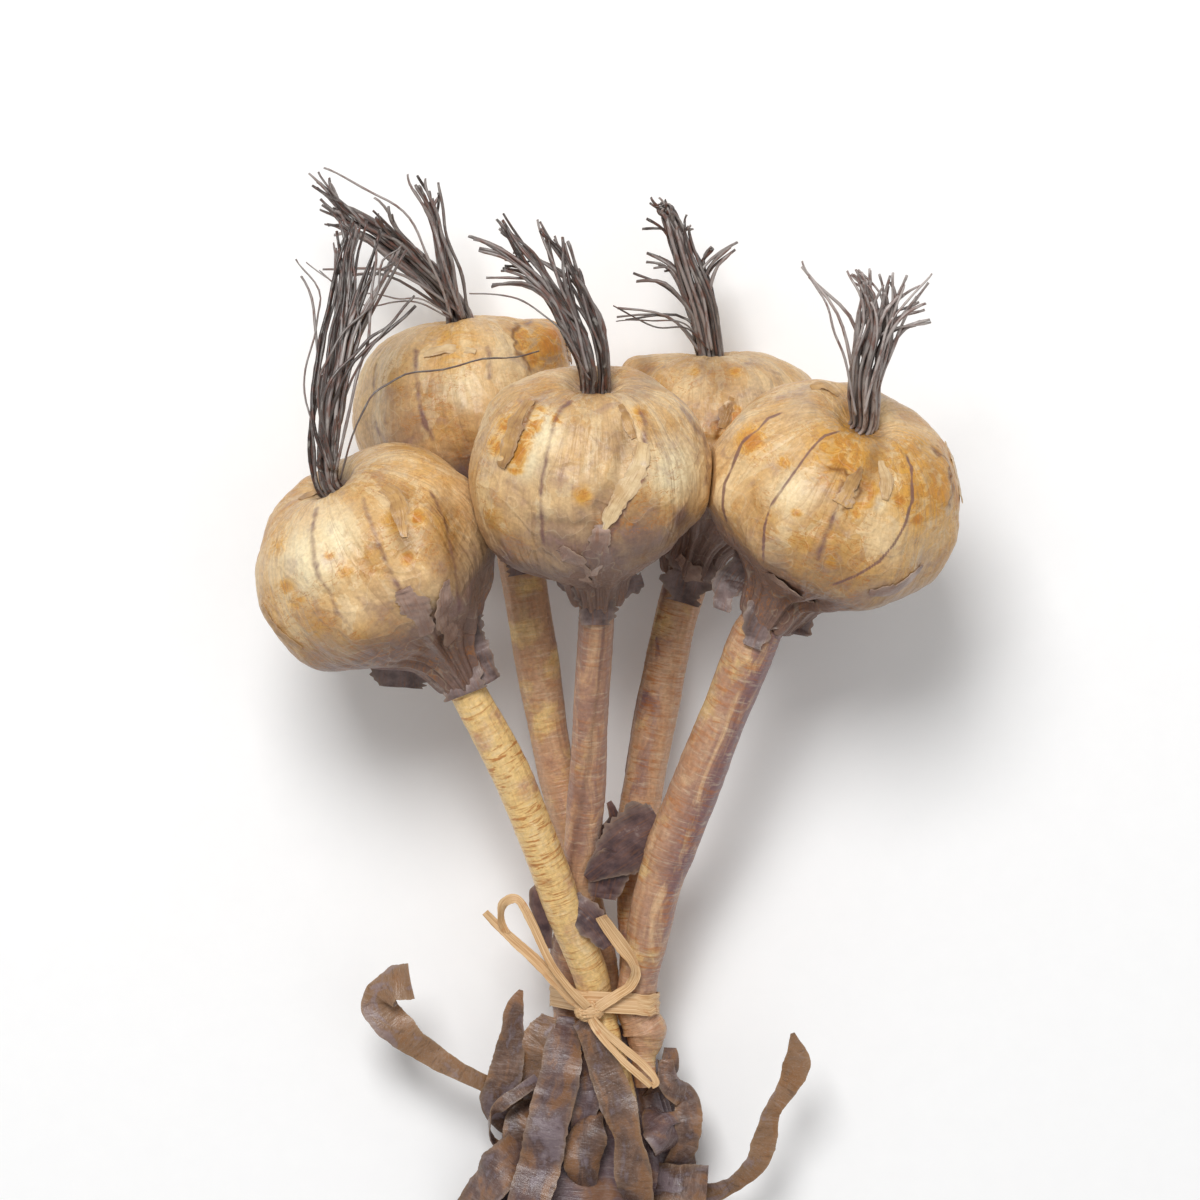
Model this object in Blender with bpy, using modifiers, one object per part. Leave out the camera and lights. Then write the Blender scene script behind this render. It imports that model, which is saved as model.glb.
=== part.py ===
"""Five dried garlic plants tied in a bundle with raffia, lying on its back.

Metres, +Z up. The heads point to +Y and the leaves to -Y, and the shown side faces up. The origin
is on the floor, under the middle of the bundle's bounding box. Sizes, routes and places are in
millimetres from the point of the floor under the tie, and are turned to metres as a mesh is made.
"""
import math
import random

import bmesh
import bpy
from mathutils import Matrix, Vector

MM = 0.001
TIE_X = -0.8
TIE_Y = -48.0
GAP = 0.3                   # air between two pieces that touch
TO_PART = Matrix.Translation(Vector((TIE_X, TIE_Y, 0.0)) * MM) @ Matrix.Scale(MM, 4)
UP = Vector((0.0, 0.0, 1.0))

SKIN_THICKNESS = 0.8        # torn papery skin, as modelled
LEAF_THICKNESS = 0.9
RAFFIA_THICKNESS = 0.7
ROOT_THICKNESS = 1.3        # a root, as modelled: a few real ones lying together

# A garlic head seen from the side, from the root plate to the neck: how wide it is as a share of
# its radius, and how high as a share of its half height above and of its neck length below.
PROFILE = (
    (0.00, 0.86), (0.14, 0.90), (0.27, 0.99), (0.46, 0.975), (0.68, 0.84), (0.86, 0.60),
    (0.96, 0.32), (1.00, 0.03), (0.965, -0.17), (0.855, -0.335), (0.68, -0.48), (0.47, -0.61),
    (0.30, -0.76), (0.20, -1.00), (0.00, -1.00),
)
HEAD_SEGMENTS = 28
SPINE_LEAVES = 0.4          # how stiffly the head's spine leaves its middle and arrives at its stem,
SPINE_ARRIVES = 0.35        # as shares of the way between them
NECK_FROM = 0.7             # the share of that way where the head has narrowed to its neck
CLOVES = 7
CLOVE_DEPTH = 0.026         # how far the furrows between cloves cut in, as a share of the radius
OVAL_DEPTH = 0.014          # how far a head is from round: once across, and in three lobes
LOBED_DEPTH = 0.012

# Middle, direction of the root plate, radius, half height, end of the neck, neck radius.
BULBS = {
    1: dict(middle=(-54.9, 112.0, 67.0), roots=(-0.500, 0.796, 0.342), radius=30.5, half=22.8,
            neck=(-34.5, 81.2, 56.0), neck_radius=5.8),
    2: dict(middle=(-33.4, 149.1, 26.9), roots=(-0.110, 0.988, 0.104), radius=28.7, half=23.3,
            neck=(-21.2, 116.3, 25.0), neck_radius=6.8),
    3: dict(middle=(-2.9, 131.5, 80.0), roots=(0.050, 0.912, 0.407), radius=28.9, half=24.2,
            neck=(-1.2, 101.1, 63.0), neck_radius=5.8),
    4: dict(middle=(28.6, 139.3, 26.0), roots=(-0.040, 0.994, 0.104), radius=27.4, half=24.6,
            neck=(21.6, 107.5, 24.0), neck_radius=6.4),
    5: dict(middle=(55.7, 126.4, 71.0), roots=(0.310, 0.785, 0.536), radius=31.6, half=23.8,
            neck=(40.1, 96.2, 57.0), neck_radius=6.6),
}
PRESSED_PAIRS = ((1, 2), (1, 3), (2, 3), (2, 4), (3, 4), (3, 5), (4, 5))

# Centre line and radius of each stem, from the head down to the tie and past it.
STEMS = {
    1: (((-34.5, 81.2, 56.0), 4.5), ((-23.9, 61.2, 48.5), 4.9), ((-17.1, 44.2, 41.5), 4.8),
        ((-12.6, 32.3, 36.7), 4.7), ((-9.7, 24.0, 33.7), 4.6), ((-6.5, 16.0, 30.2), 4.4),
        ((-3.3, 7.7, 26.2), 4.3), ((-1.6, 0.0, 22.6), 4.2), ((0.6, -8.3, 22.5), 4.1),
        ((2.5, -15.8, 22.5), 3.9), ((4.9, -24.6, 22.5), 3.8), ((6.2, -32.0, 22.3), 3.7),
        ((7.3, -38.0, 21.9), 3.5), ((7.7, -42.0, 21.5), 3.2)),
    2: (((-21.2, 116.3, 25.0), 5.8), ((-17.2, 88.4, 22.0), 5.4), ((-12.1, 60.1, 18.0), 4.9),
        ((-7.8, 43.0, 15.8), 4.6), ((-5.3, 31.0, 14.6), 4.4), ((-2.2, 16.0, 13.6), 4.2),
        ((-0.4, 8.0, 13.2), 4.1), ((0.0, 0.0, 13.0), 4.1), ((0.0, -6.5, 13.0), 4.0)),
    3: (((-1.2, 101.1, 63.0), 4.5), ((-2.2, 80.0, 51.5), 4.6), ((-3.5, 60.0, 41.0), 4.7),
        ((-4.8, 44.0, 32.5), 4.7), ((-5.7, 31.0, 26.0), 4.5), ((-7.3, 22.0, 22.3), 4.4),
        ((-8.5, 15.5, 19.6), 4.2), ((-8.6, 8.0, 16.4), 4.1), ((-8.6, 0.0, 13.2), 4.1),
        ((-8.7, -6.5, 12.6), 4.0)),
    4: (((21.6, 107.5, 24.0), 5.3), ((17.6, 91.6, 22.8), 5.3), ((15.2, 79.0, 21.3), 5.2),
        ((10.3, 53.1, 17.8), 5.3), ((9.0, 40.0, 16.2), 5.1), ((8.2, 24.0, 14.6), 4.6),
        ((8.6, 8.0, 13.2), 4.2), ((8.6, 0.0, 12.7), 4.1), ((8.7, -4.6, 12.4), 4.0)),
    5: (((40.1, 96.2, 57.0), 5.7), ((37.2, 90.8, 55.4), 6.0), ((27.9, 66.6, 47.0), 6.0),
        ((18.8, 44.1, 38.5), 6.2), ((14.8, 32.3, 34.0), 5.8), ((10.2, 12.6, 27.2), 5.3),
        ((8.2, 0.0, 23.2), 5.0), ((9.2, -4.0, 22.4), 5.0), ((10.8, -7.5, 21.8), 5.6),
        ((10.8, -11.0, 21.4), 4.3), ((10.7, -15.8, 21.2), 3.1), ((11.2, -22.0, 21.0), 2.7)),
}
STEM_SIDES = 10
FACE_TO_NECK = 0.45         # from the end of a neck to the start of its stem
FLAP_STATIONS = 4
FLAP_CRINKLE = 0.5
PEEL_STATIONS = 5

# Torn skin at the necks and peeled sheath on the stems: route, widths, the way the face looks.
NECK_FLAPS = {
    1: ((((-47.0, 93.0, 58.0), (-49.5, 85.5, 55.0), (-50.0, 80.0, 53.5)), (12, 14, 13), (0, -0.4, 1)),
        (((-33.8, 99.0, 64.0), (-31.8, 90.0, 62.5), (-27.4, 81.5, 60.5)), (8, 8.5, 5), (0.3, 0, 1)),
        (((-40.0, 92.0, 63.0), (-36.0, 84.5, 62.4), (-33.6, 78.5, 60.6)), (13, 12, 9), (0, -0.3, 1))),
    2: ((((-23.5, 122.0, 30.5), (-21.4, 115.0, 32.2), (-20.3, 108.0, 31.8)), (10, 10, 6), (0, 0, 1)),),
    3: ((((-2.0, 107.0, 70.5), (-1.6, 101.5, 69.2), (-1.6, 95.5, 66.8)), (10, 9, 7), (0, -0.45, 1)),
        (((1.0, 104.5, 66.6), (5.5, 105.0, 66.3), (9.9, 106.6, 65.8)), (6, 6.5, 3.5), (0.2, -0.4, 1)),
        (((-3.0, 105.0, 65.0), (-8.5, 107.5, 65.0), (-15.5, 112.5, 64.5)), (8, 7, 3), (-0.2, -0.5, 1))),
    4: ((((24.0, 115.0, 30.0), (21.8, 107.5, 30.6), (20.0, 101.0, 29.8)), (13, 12, 8), (0, 0, 1)),),
    5: ((((37.0, 112.0, 57.0), (31.6, 106.0, 57.0), (29.0, 99.3, 57.5)), (9, 8, 3.5), (-0.2, -0.2, 1)),
        (((42.5, 102.0, 62.8), (38.9, 96.5, 63.8), (36.4, 90.2, 63.0)), (10, 9, 5), (0, -0.3, 1)),
        (((47.8, 106.0, 61.0), (49.0, 98.8, 59.8), (47.9, 93.2, 59.3)), (10, 9, 4), (0.3, 0, 1))),
}
STEM_FLAPS = {
    1: ((((-8.0, 26.0, 35.8), (-4.0, 22.5, 36.6), (-0.8, 18.5, 36.0), (1.4, 14.5, 35.0)),
         (5, 6, 5.5, 2), (0, 0, 1)),
        (((-13.0, 31.0, 37.0), (-15.3, 26.5, 35.2), (-14.6, 20.0, 33.0), (-13.2, 13.8, 30.0)),
         (4, 5, 3.5, 1.2), (-0.4, 0, 1))),
    3: ((((-1.5, 42.0, 31.5), (1.4, 43.5, 32.2), (3.0, 47.0, 34.5), (1.8, 51.0, 36.5)),
         (5, 4, 2.5, 1), (0.5, 0, 1)),),
    5: ((((15.5, 45.0, 39.0), (8.5, 41.0, 36.6), (2.4, 36.6, 34.4), (-3.8, 31.5, 32.8)),
         (11, 15, 8.5, 2), (0.2, -0.1, 1)),
        (((3.6, 38.6, 35.4), (1.6, 33.0, 32.4), (0.2, 26.4, 30.6)), (6, 8.5, 5), (0.1, 0, 1))),
}

# Root tufts. The roots leave the root plate in bundles, each a route with its radius. Then they
# part in fans: the bundle, how far up it the fan leaves, its middle end, spread and number of roots.
TUFT_BUNDLES = {
    1: ((((-66.7, 139.1, 77.5), 4.1), ((-65.8, 150.0, 78.5), 4.5), ((-63.9, 164.6, 77.0), 3.9),
         ((-62.4, 177.0, 75.0), 2.9)),),
    2: ((((-41.7, 180.0, 33.0), 3.6), ((-48.8, 187.0, 36.0), 3.8), ((-57.1, 192.4, 38.0), 3.4),
         ((-63.3, 196.8, 39.5), 2.2)),
        (((-37.2, 180.0, 33.5), 2.6), ((-39.3, 189.6, 36.0), 2.3), ((-41.0, 198.4, 38.0), 1.6))),
    3: ((((-2.7, 161.0, 95.0), 4.2), ((-6.5, 170.0, 97.0), 5.0), ((-11.6, 177.8, 98.0), 4.6),
         ((-16.5, 183.4, 98.5), 2.6)),),
    4: ((((25.8, 173.1, 32.0), 4.0), ((22.6, 182.7, 34.5), 4.0), ((19.6, 192.0, 36.5), 3.2),
         ((17.0, 198.0, 37.5), 2.0)),),
    5: ((((62.6, 152.9, 90.5), 4.2), ((64.2, 161.2, 96.0), 4.9), ((65.4, 168.0, 99.0), 4.2)),),
}
FANS = {
    1: ((0, 0.90, (-60.5, 195.5, 72.0), 3.0, 4), (0, 0.85, (-63.4, 189.6, 70.0), 2.5, 3),
        (0, 0.55, (-51.4, 187.5, 76.0), 2.6, 2), (0, 0.60, (-53.5, 193.2, 77.0), 0.8, 1),
        (0, 0.55, (-48.0, 188.2, 79.0), 0.8, 1), (0, 0.40, (-45.0, 174.8, 83.0), 0.8, 1),
        (0, 0.70, (-74.1, 184.2, 70.0), 0.8, 1)),
    2: ((1, 0.85, (-48.1, 207.4, 41.0), 1.5, 2), (1, 0.85, (-42.6, 205.0, 38.0), 1.6, 2),
        (0, 0.90, (-70.6, 206.4, 42.0), 2.4, 3), (0, 0.90, (-69.4, 200.8, 38.0), 2.6, 3),
        (0, 0.80, (-69.8, 194.6, 36.0), 1.6, 1), (0, 0.60, (-55.6, 200.4, 44.0), 1.8, 2),
        (0, 0.30, (-72.0, 186.0, 36.0), 0.8, 1)),
    3: ((0, 0.80, (-24.7, 191.2, 99.0), 1.6, 3), (0, 0.75, (-31.6, 187.2, 98.0), 1.2, 2),
        (0, 0.55, (-30.4, 178.8, 95.0), 0.8, 1), (0, 0.75, (-24.4, 182.6, 94.0), 2.6, 2),
        (0, 0.65, (-14.6, 190.8, 102.0), 1.2, 2), (0, 0.60, (-10.8, 187.2, 101.0), 1.6, 2),
        (0, 0.50, (-7.6, 181.8, 101.0), 1.6, 1)),
    4: ((0, 0.95, (13.4, 201.4, 38.0), 1.6, 3), (0, 0.95, (16.4, 200.4, 39.0), 1.6, 2),
        (0, 0.75, (9.8, 196.2, 36.0), 0.8, 1), (0, 0.60, (12.8, 187.2, 33.0), 2.2, 2),
        (0, 0.45, (6.4, 184.0, 34.0), 0.8, 1), (0, 0.25, (2.8, 174.6, 33.0), 1.6, 1),
        (0, 0.80, (21.0, 196.6, 40.0), 1.4, 2), (0, 0.60, (27.6, 190.8, 36.0), 0.8, 1),
        (0, 0.50, (33.4, 191.0, 35.0), 0.8, 1)),
    5: ((0, 0.55, (47.2, 181.6, 95.0), 0.8, 1), (0, 0.90, (57.8, 180.4, 101.0), 2.0, 2),
        (0, 0.90, (61.9, 178.4, 103.5), 2.0, 2), (0, 0.90, (68.6, 176.4, 103.0), 2.4, 3),
        (0, 0.80, (77.2, 178.6, 99.0), 0.8, 1), (0, 0.80, (75.6, 172.4, 99.0), 1.6, 2),
        (0, 0.75, (77.0, 166.8, 96.0), 1.4, 2), (0, 0.90, (65.6, 173.6, 102.0), 2.4, 1)),
}
TUFT_RADIUS = 3.5
TUFT_NECK = 3.0             # length of a bundle's straight start on the root plate
BUNDLE_SIDES = 8
ROOT_SIDES = 4
ROOT_STATIONS = 3
ROOT_RUN_IN = 0.7           # a root lies in its bundle from this share of the way to where it leaves
LEAVING_SPREAD = 0.7        # how far a fan has spread where it leaves, next to its ends
LEAVING_LIMIT = 2.0

# The mass of dry leaves under the ribbons: distance below the tie, middle x, half width, half height.
LEAF_CORE = (
    (-7.4, 0.0, 9.0, 3.6), (-15.0, -1.5, 14.5, 7.4), (-28.0, -3.0, 20.0, 8.6), (-45.0, -2.0, 24.0, 8.8),
    (-65.0, -1.0, 25.0, 8.8), (-84.0, 0.0, 21.0, 7.6), (-96.0, 1.0, 14.0, 5.0),
)
LEAF_CORE_SEGMENTS = 14
LEAF_CORE_RISE = 3.4        # how much higher its end under the tie lies
LEAF_CORE_REACH = 7.8       # height of the core's middle above the floor

# Dried leaf ribbons: route, widths along it, the way the face looks, crinkle depth, how far the
# ribbon is rolled across, in degrees.
RIBBONS = {
    "left curl": (((-48.1, 5.8, 33), (-53.5, 4.5, 30.5), (-56.4, -0.8, 28), (-51.1, -7.4, 27),
                   (-45.1, -12.3, 26), (-35.3, -18.3, 24), (-24.7, -23.7, 18), (-15.0, -27.0, 11)),
                  (8, 8, 8, 7.5, 6, 4, 4, 4), (-0.3, 0.2, 1), 0.3, 30),
    "pointed blade": (((-20.5, 2.7, 24), (-22.3, -2.4, 24), (-23.1, -11.3, 23), (-24.6, -19.1, 22),
                       (-26.3, -26.9, 19), (-20.0, -34.0, 11)),
                      (1, 4.5, 6.5, 7.5, 8, 7), (0.3, 0, 1), 0.3, 20),
    "edge-on twist": (((-13.5, -18.7, 18), (-20.0, -22.6, 23), (-25.9, -26.7, 24), (-28.6, -31.0, 22),
                       (-27.2, -37.1, 17), (-20.0, -42.0, 10)),
                      (3, 3, 3, 3, 3, 4), (0.7, 0.5, 0.5), 0.2, 0),
    "folded ribbon": (((-13.5, -4.4, 20.4), (-15.0, -7.0, 22), (-17.5, -11.5, 22), (-18.3, -17, 19.5),
                       (-19.5, -25, 16), (-14.0, -31.0, 10)),
                      (3.5, 5.5, 6.5, 6.5, 7, 7), (-0.2, 0.2, 1), 0.6, 0),
    "broad ribbon": (((-9.2, -4.4, 20.6), (-9.9, -11.3, 24), (-10.6, -18.4, 26), (-12.7, -26.6, 24),
                      (-14.4, -34.5, 26), (-15.7, -41.7, 23), (-18.5, -50.3, 25), (-20.0, -61.0, 21),
                      (-21.5, -72.0, 17), (-20.0, -84.0, 12)),
                     (3.4, 8, 9, 9.5, 9.5, 9.5, 9.5, 9, 8.5, 7), (0, 0, 1), 0.5, 25),
    "sheath": (((-5.0, -13.5, 17), (-4.4, -19.0, 20.5), (-3.4, -24.0, 21.5), (-5.0, -31.0, 19),
                (-6.0, -37.0, 12)),
               (3, 5, 6, 5, 4), (0.2, 0, 1), 0.3, 0),
    "rolled leaf": (((-0.9, -28.6, 19), (-3.4, -31.9, 21.5), (-4.4, -37.6, 22.5), (-4.6, -44.2, 21),
                     (-4.3, -51, 13)),
                    (2.5, 8, 10, 8, 4), (-0.2, 0, 1), 0.2, 170),
    "stem sheath": (((-5.6, -4.6, 25.6), (-3.0, -8.3, 27.2), (0.1, -15.8, 27.4), (3.6, -24.6, 27.5),
                     (5.8, -32.0, 27.3), (7.4, -40.0, 26.8), (8.4, -48.0, 24.0), (9.4, -56.0, 14.0)),
                    (4, 6, 7, 8, 8, 8.5, 8, 7), (-0.35, 0, 1), 0.2, 20),
    "stub leaf": (((17.4, -12.6, 17.5), (17.2, -17.0, 18), (15.0, -23.0, 14), (11.0, -28.0, 10)),
                  (3, 4.5, 5, 5), (0.5, 0, 1), 0.4, 20),
    "zig-zag": (((16.4, -15.5, 19), (17.0, -21.1, 22.5), (21.4, -25.6, 19), (22.0, -31.8, 21),
                 (20.9, -38.4, 18), (17.0, -46, 11)),
                (3, 5, 6, 6, 5.5, 5), (0.2, 0.2, 1), 0.4, 20),
    "curled lump": (((13.4, -28.2, 15), (14.2, -29.8, 21.5), (15.8, -32.8, 24.6), (17.6, -36.8, 21),
                     (17.4, -40.6, 11)),
                    (4, 8, 9.5, 9, 6), (0.2, 0, 1), 0.2, 95),
    "end flap": (((13.0, -47.0, 14), (20.5, -47.0, 19.5), (26.8, -47.2, 18.5)),
                 (8, 8.5, 8.5), (0, 0, 1), 0.6, 0),
    "far blade": (((48.0, -7.6, 30), (49.2, -15, 29), (46.8, -21.8, 27), (43, -28, 26),
                   (41.3, -35.3, 24), (39.3, -41.3, 22.5), (34.0, -47.0, 18), (26, -51, 12),
                   (16, -53, 8)),
                  (1, 6, 4.5, 4, 5.5, 5, 4, 5, 5), (0.2, 0, 1), 0.3, 15),
    "lower left leaf": (((-14, -33, 11), (-21.5, -38.5, 18.5), (-27, -44.5, 21), (-31, -52, 18),
                         (-30, -61, 11), (-20, -71, 7)),
                        (6, 8.5, 10, 10, 9, 8), (-0.3, 0, 1), 0.5, 25),
    "leaf behind": (((-20, -42, 9), (-30, -50, 8), (-34, -59, 6), (-27, -71, 5)),
                    (7, 8, 8, 7), (-0.3, 0, 1), 0.5, 20),
    "short segment": (((-13, -27, 13), (-20, -30.5, 18), (-21, -36, 17.5), (-16, -42, 12)),
                      (6, 7, 7, 6), (-0.1, 0.1, 1), 0.4, 0),
    "middle end": (((-7, -50, 14), (-8.5, -59, 20), (-8, -71, 19), (-10, -85, 14), (-12, -101, 8)),
                   (7, 9, 9.5, 9, 4), (0, 0, 1), 0.6, 30),
    "right end": (((3, -58, 14), (3, -66, 18.5), (5, -78, 17), (3, -93, 12), (4, -107, 6)),
                  (7, 9, 9.5, 8, 3), (0.1, 0, 1), 0.6, 30),
    "outer right end": (((12, -50, 14), (16, -59, 19), (18, -71, 16), (21, -85, 11), (25, -99, 6)),
                        (6, 8.5, 9, 8, 3), (0.2, 0, 1), 0.6, 30),
    "right wing": (((19, -52, 10), (28, -61, 13), (33, -73, 10), (34, -88, 5)),
                   (6, 8, 8, 3), (0.4, 0, 1), 0.5, 30),
    "left wing": (((-15, -62, 10), (-25, -74, 13), (-30, -88, 9), (-34, -101, 4)),
                  (6, 8, 8, 3), (-0.4, 0, 1), 0.5, 30),
    "tail one": (((0, -80, 12), (-4, -91, 13), (-3, -104, 8), (0, -112, 4)),
                 (6, 7, 7, 2), (0, 0, 1), 0.5, 25),
    "tail two": (((11, -76, 12), (13, -90, 11), (17, -105, 5)),
                 (6, 7.5, 3), (0.1, 0, 1), 0.5, 25),
    "under left": (((-10, -13, 7), (-16, -26, 5), (-21, -40, 3), (-25, -55, 2)),
                   (5, 7, 7, 4), (-0.5, 0, 1), 0.4, 20),
    "under right": (((8, -12, 8), (14, -22, 7), (19, -34, 5), (23, -49, 2.5)),
                    (5, 7, 7, 4), (0.5, 0, 1), 0.4, 20),
    "under left end": (((-6, -86, 6), (-16, -97, 4), (-21, -109, 2)),
                       (6, 7, 3), (-0.1, 0, 1), 0.3, 15),
    "under right end": (((10, -84, 6), (23, -96, 4), (30, -107, 2)),
                        (6, 6, 3), (0.1, 0, 1), 0.3, 15),
}
RIBBON_STATIONS = 9
CRINKLE_PITCH = 7.0         # from one crinkle of a leaf to the next

# Raffia: the band round the stems, the knot on the front stem, and the ends and loops of the bow.
BAND_WIDTH = 5.3
BAND_REACH = 0.6            # how far from its middle line the band feels the stems, in widths
BAND_STATIONS = 30
BAND_CLEARANCE = 0.45
BAND_SLOPE = -0.045         # the band drops a little towards its right side
KNOT_MIDDLE = (-3.2, -2.2, 29.3)
KNOT_SIZE = (7.4, 5.4, 3.0)
BOW_STATIONS = 8
BOW = {
    "left end": (((-3.2, -1.6, 30.2), (-6.8, 0.4, 30.6), (-11.6, 5.6, 31.5), (-16.6, 10.9, 32.5),
                  (-24.2, 17.9, 34), (-29.4, 23.2, 35)), (3.2, 3.2, 3.4, 3.2, 2.6, 2.2)),
    "left loop": (((-3.6, -1.0, 31.0), (-8.5, 4.2, 33.2), (-13.1, 10.8, 35), (-17.3, 20.1, 37),
                   (-21.0, 26.6, 38.4), (-24.6, 25.6, 37.6), (-25.4, 21.6, 35.6), (-24.0, 17.9, 34)),
                  (2.4, 2.4, 2.4, 2.6, 2.4, 3.0, 2.6, 2.2)),
    "right end": (((-1.0, -1.2, 30.4), (3.4, 0.6, 30.6), (6.5, 3.6, 31.8), (8.5, 8.0, 34),
                   (7.8, 14.2, 36.5), (3.8, 20.1, 38.5), (0.4, 22.9, 39.4)),
                  (4, 4, 4, 3.6, 4, 4.2, 4.2)),
    "lower loop, outer": (((-2.6, -3.4, 30.2), (0.0, -6.4, 30.8), (5.2, -11.0, 31.2), (11.0, -16.0, 31.5),
                           (13.6, -19.6, 31.5), (12.4, -20.8, 31.5)), (2.2, 2.2, 2.4, 2.2, 2, 2)),
    "lower loop, inner": (((-3.0, -3.8, 30.2), (-1.0, -7.4, 30.8), (5.0, -14.2, 31.2),
                           (12.4, -20.8, 31.5)), (2.0, 2.0, 2.0, 2.0)),
}

COLOURS = {
    "bulb": ((0.80, 0.60, 0.30), 0.55),
    "stem": ((0.52, 0.33, 0.16), 0.60),
    "root_tuft": ((0.16, 0.13, 0.11), 0.65),
    "dried_leaves": ((0.19, 0.12, 0.085), 0.55),
    "raffia_tie": ((0.72, 0.50, 0.27), 0.60),
}


def clear_scene():
    for old in list(bpy.data.objects):
        bpy.data.objects.remove(old, do_unlink=True)


def make_collection(name):
    group = bpy.data.collections.new(name)
    bpy.context.scene.collection.children.link(group)
    return group


def make_material(name, kind):
    colour, roughness = COLOURS[kind]
    material = bpy.data.materials.new(name)
    material.use_nodes = True
    shader = material.node_tree.nodes["Principled BSDF"]
    shader.inputs["Base Color"].default_value = (*colour, 1.0)
    shader.inputs["Roughness"].default_value = roughness
    shader.inputs["Metallic"].default_value = 0.0
    material.diffuse_color = (*colour, 1.0)
    return material


def smooth_step(value):
    value = min(max(value, 0.0), 1.0)
    return value * value * (3.0 - 2.0 * value)


def on_curve(points, share):
    """A smooth curve through the points, read at a share of the way from the first to the last."""
    reach = share * (len(points) - 1)
    index = min(int(reach), len(points) - 2)
    part = reach - index
    before = points[max(index - 1, 0)]
    start = points[index]
    end = points[index + 1]
    after = points[min(index + 2, len(points) - 1)]
    bend = (end - before) * part
    curve = (before * 2.0 - start * 5.0 + end * 4.0 - after) * part ** 2
    twist = (start * 3.0 - before - end * 3.0 + after) * part ** 3
    return (start * 2.0 + bend + curve + twist) * 0.5


def on_values(values, share):
    reach = share * (len(values) - 1)
    index = min(int(reach), len(values) - 2)
    return values[index] + (values[index + 1] - values[index]) * (reach - index)


def object_from(name, mesh_source, group):
    """A mesh object in the part's frame from a bmesh in millimetres from the tie."""
    bmesh.ops.transform(mesh_source, matrix=TO_PART, verts=mesh_source.verts)
    bmesh.ops.recalc_face_normals(mesh_source, faces=mesh_source.faces)
    mesh = bpy.data.meshes.new(name)
    mesh_source.to_mesh(mesh)
    mesh_source.free()
    made = bpy.data.objects.new(name, mesh)
    group.objects.link(made)
    return made


def as_mesh(source, group):
    """The object with its modifiers applied, or its curve turned to a mesh with welded caps."""
    graph = bpy.context.evaluated_depsgraph_get()
    mesh = bpy.data.meshes.new_from_object(source.evaluated_get(graph))
    name = source.name
    made = bpy.data.objects.new(name + "_mesh", mesh)
    made.matrix_world = source.matrix_world
    group.objects.link(made)
    bpy.data.objects.remove(source, do_unlink=True)
    welded = bmesh.new()
    welded.from_mesh(mesh)
    bmesh.ops.remove_doubles(welded, verts=welded.verts, dist=1e-6)
    welded.to_mesh(mesh)
    welded.free()
    made.name = name
    return made


def union(body, pieces, solver="EXACT"):
    """Fuse the pieces onto the body in one Boolean union, then remove them."""
    joined = bpy.data.collections.new(body.name + "_pieces")
    bpy.context.scene.collection.children.link(joined)
    for piece in pieces:
        for home in list(piece.users_collection):
            home.objects.unlink(piece)
        joined.objects.link(piece)
    fuse = body.modifiers.new("Fuse", "BOOLEAN")
    fuse.operation = "UNION"
    fuse.operand_type = "COLLECTION"
    fuse.collection = joined
    fuse.solver = solver
    group = body.users_collection[0]
    made = as_mesh(body, group)
    for piece in pieces:
        bpy.data.objects.remove(piece, do_unlink=True)
    bpy.data.collections.remove(joined)
    return made


def strip(name, group, route, widths, facing, thickness, stations, across=1, crinkle=0.0, roll=0.0):
    """A ribbon: a grid laid along the route, creased and rolled, with a wall of even thickness."""
    points = [Vector(point) for point in route]
    facing = Vector(facing).normalized()
    length = sum((b - a).length for a, b in zip(points, points[1:]))
    sheet = bmesh.new()
    bmesh.ops.create_grid(sheet, x_segments=stations, y_segments=across, size=0.5)
    for vert in sheet.verts:
        share = vert.co.x + 0.5
        sideways = vert.co.y * 2.0
        middle = on_curve(points, share)
        ahead = on_curve(points, min(share + 0.02, 1.0)) - on_curve(points, max(share - 0.02, 0.0))
        side = ahead.cross(facing).normalized()
        normal = side.cross(ahead).normalized()
        width = on_values(widths, share)
        crease = crinkle * math.sin(math.pi * share * length / CRINKLE_PITCH)
        if roll > 0.0:
            angle = math.radians(roll) / 2.0
            bow = width / 2.0 / angle
            out = side * bow * math.sin(angle * sideways)
            rise = normal * (bow * (math.cos(angle * sideways) - 1.0) + crease)
        else:
            out = side * width / 2.0 * sideways
            rise = normal * crease
        vert.co = middle + out + rise
    bmesh.ops.triangulate(sheet, faces=sheet.faces)
    made = object_from(name, sheet, group)
    wall = made.modifiers.new("Wall", "SOLIDIFY")
    wall.thickness = thickness * MM
    wall.offset = 0.0
    return as_mesh(made, group)


def head_radius(bulb, number, angle, ring_share):
    """The head's radius at an angle round its axis: cloves, and a form that is not quite round."""
    draw = random.Random(40 + number)
    cloves = math.cos(CLOVES * angle + draw.uniform(0.0, math.tau))
    oval = math.cos(2.0 * angle + draw.uniform(0.0, math.tau))
    lopsided = math.cos(3.0 * angle + draw.uniform(0.0, math.tau))
    uneven = CLOVE_DEPTH * cloves + OVAL_DEPTH * oval + LOBED_DEPTH * lopsided
    return bulb["radius"] * ring_share * (1.0 + uneven * min(ring_share * 1.4, 1.0))


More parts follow.
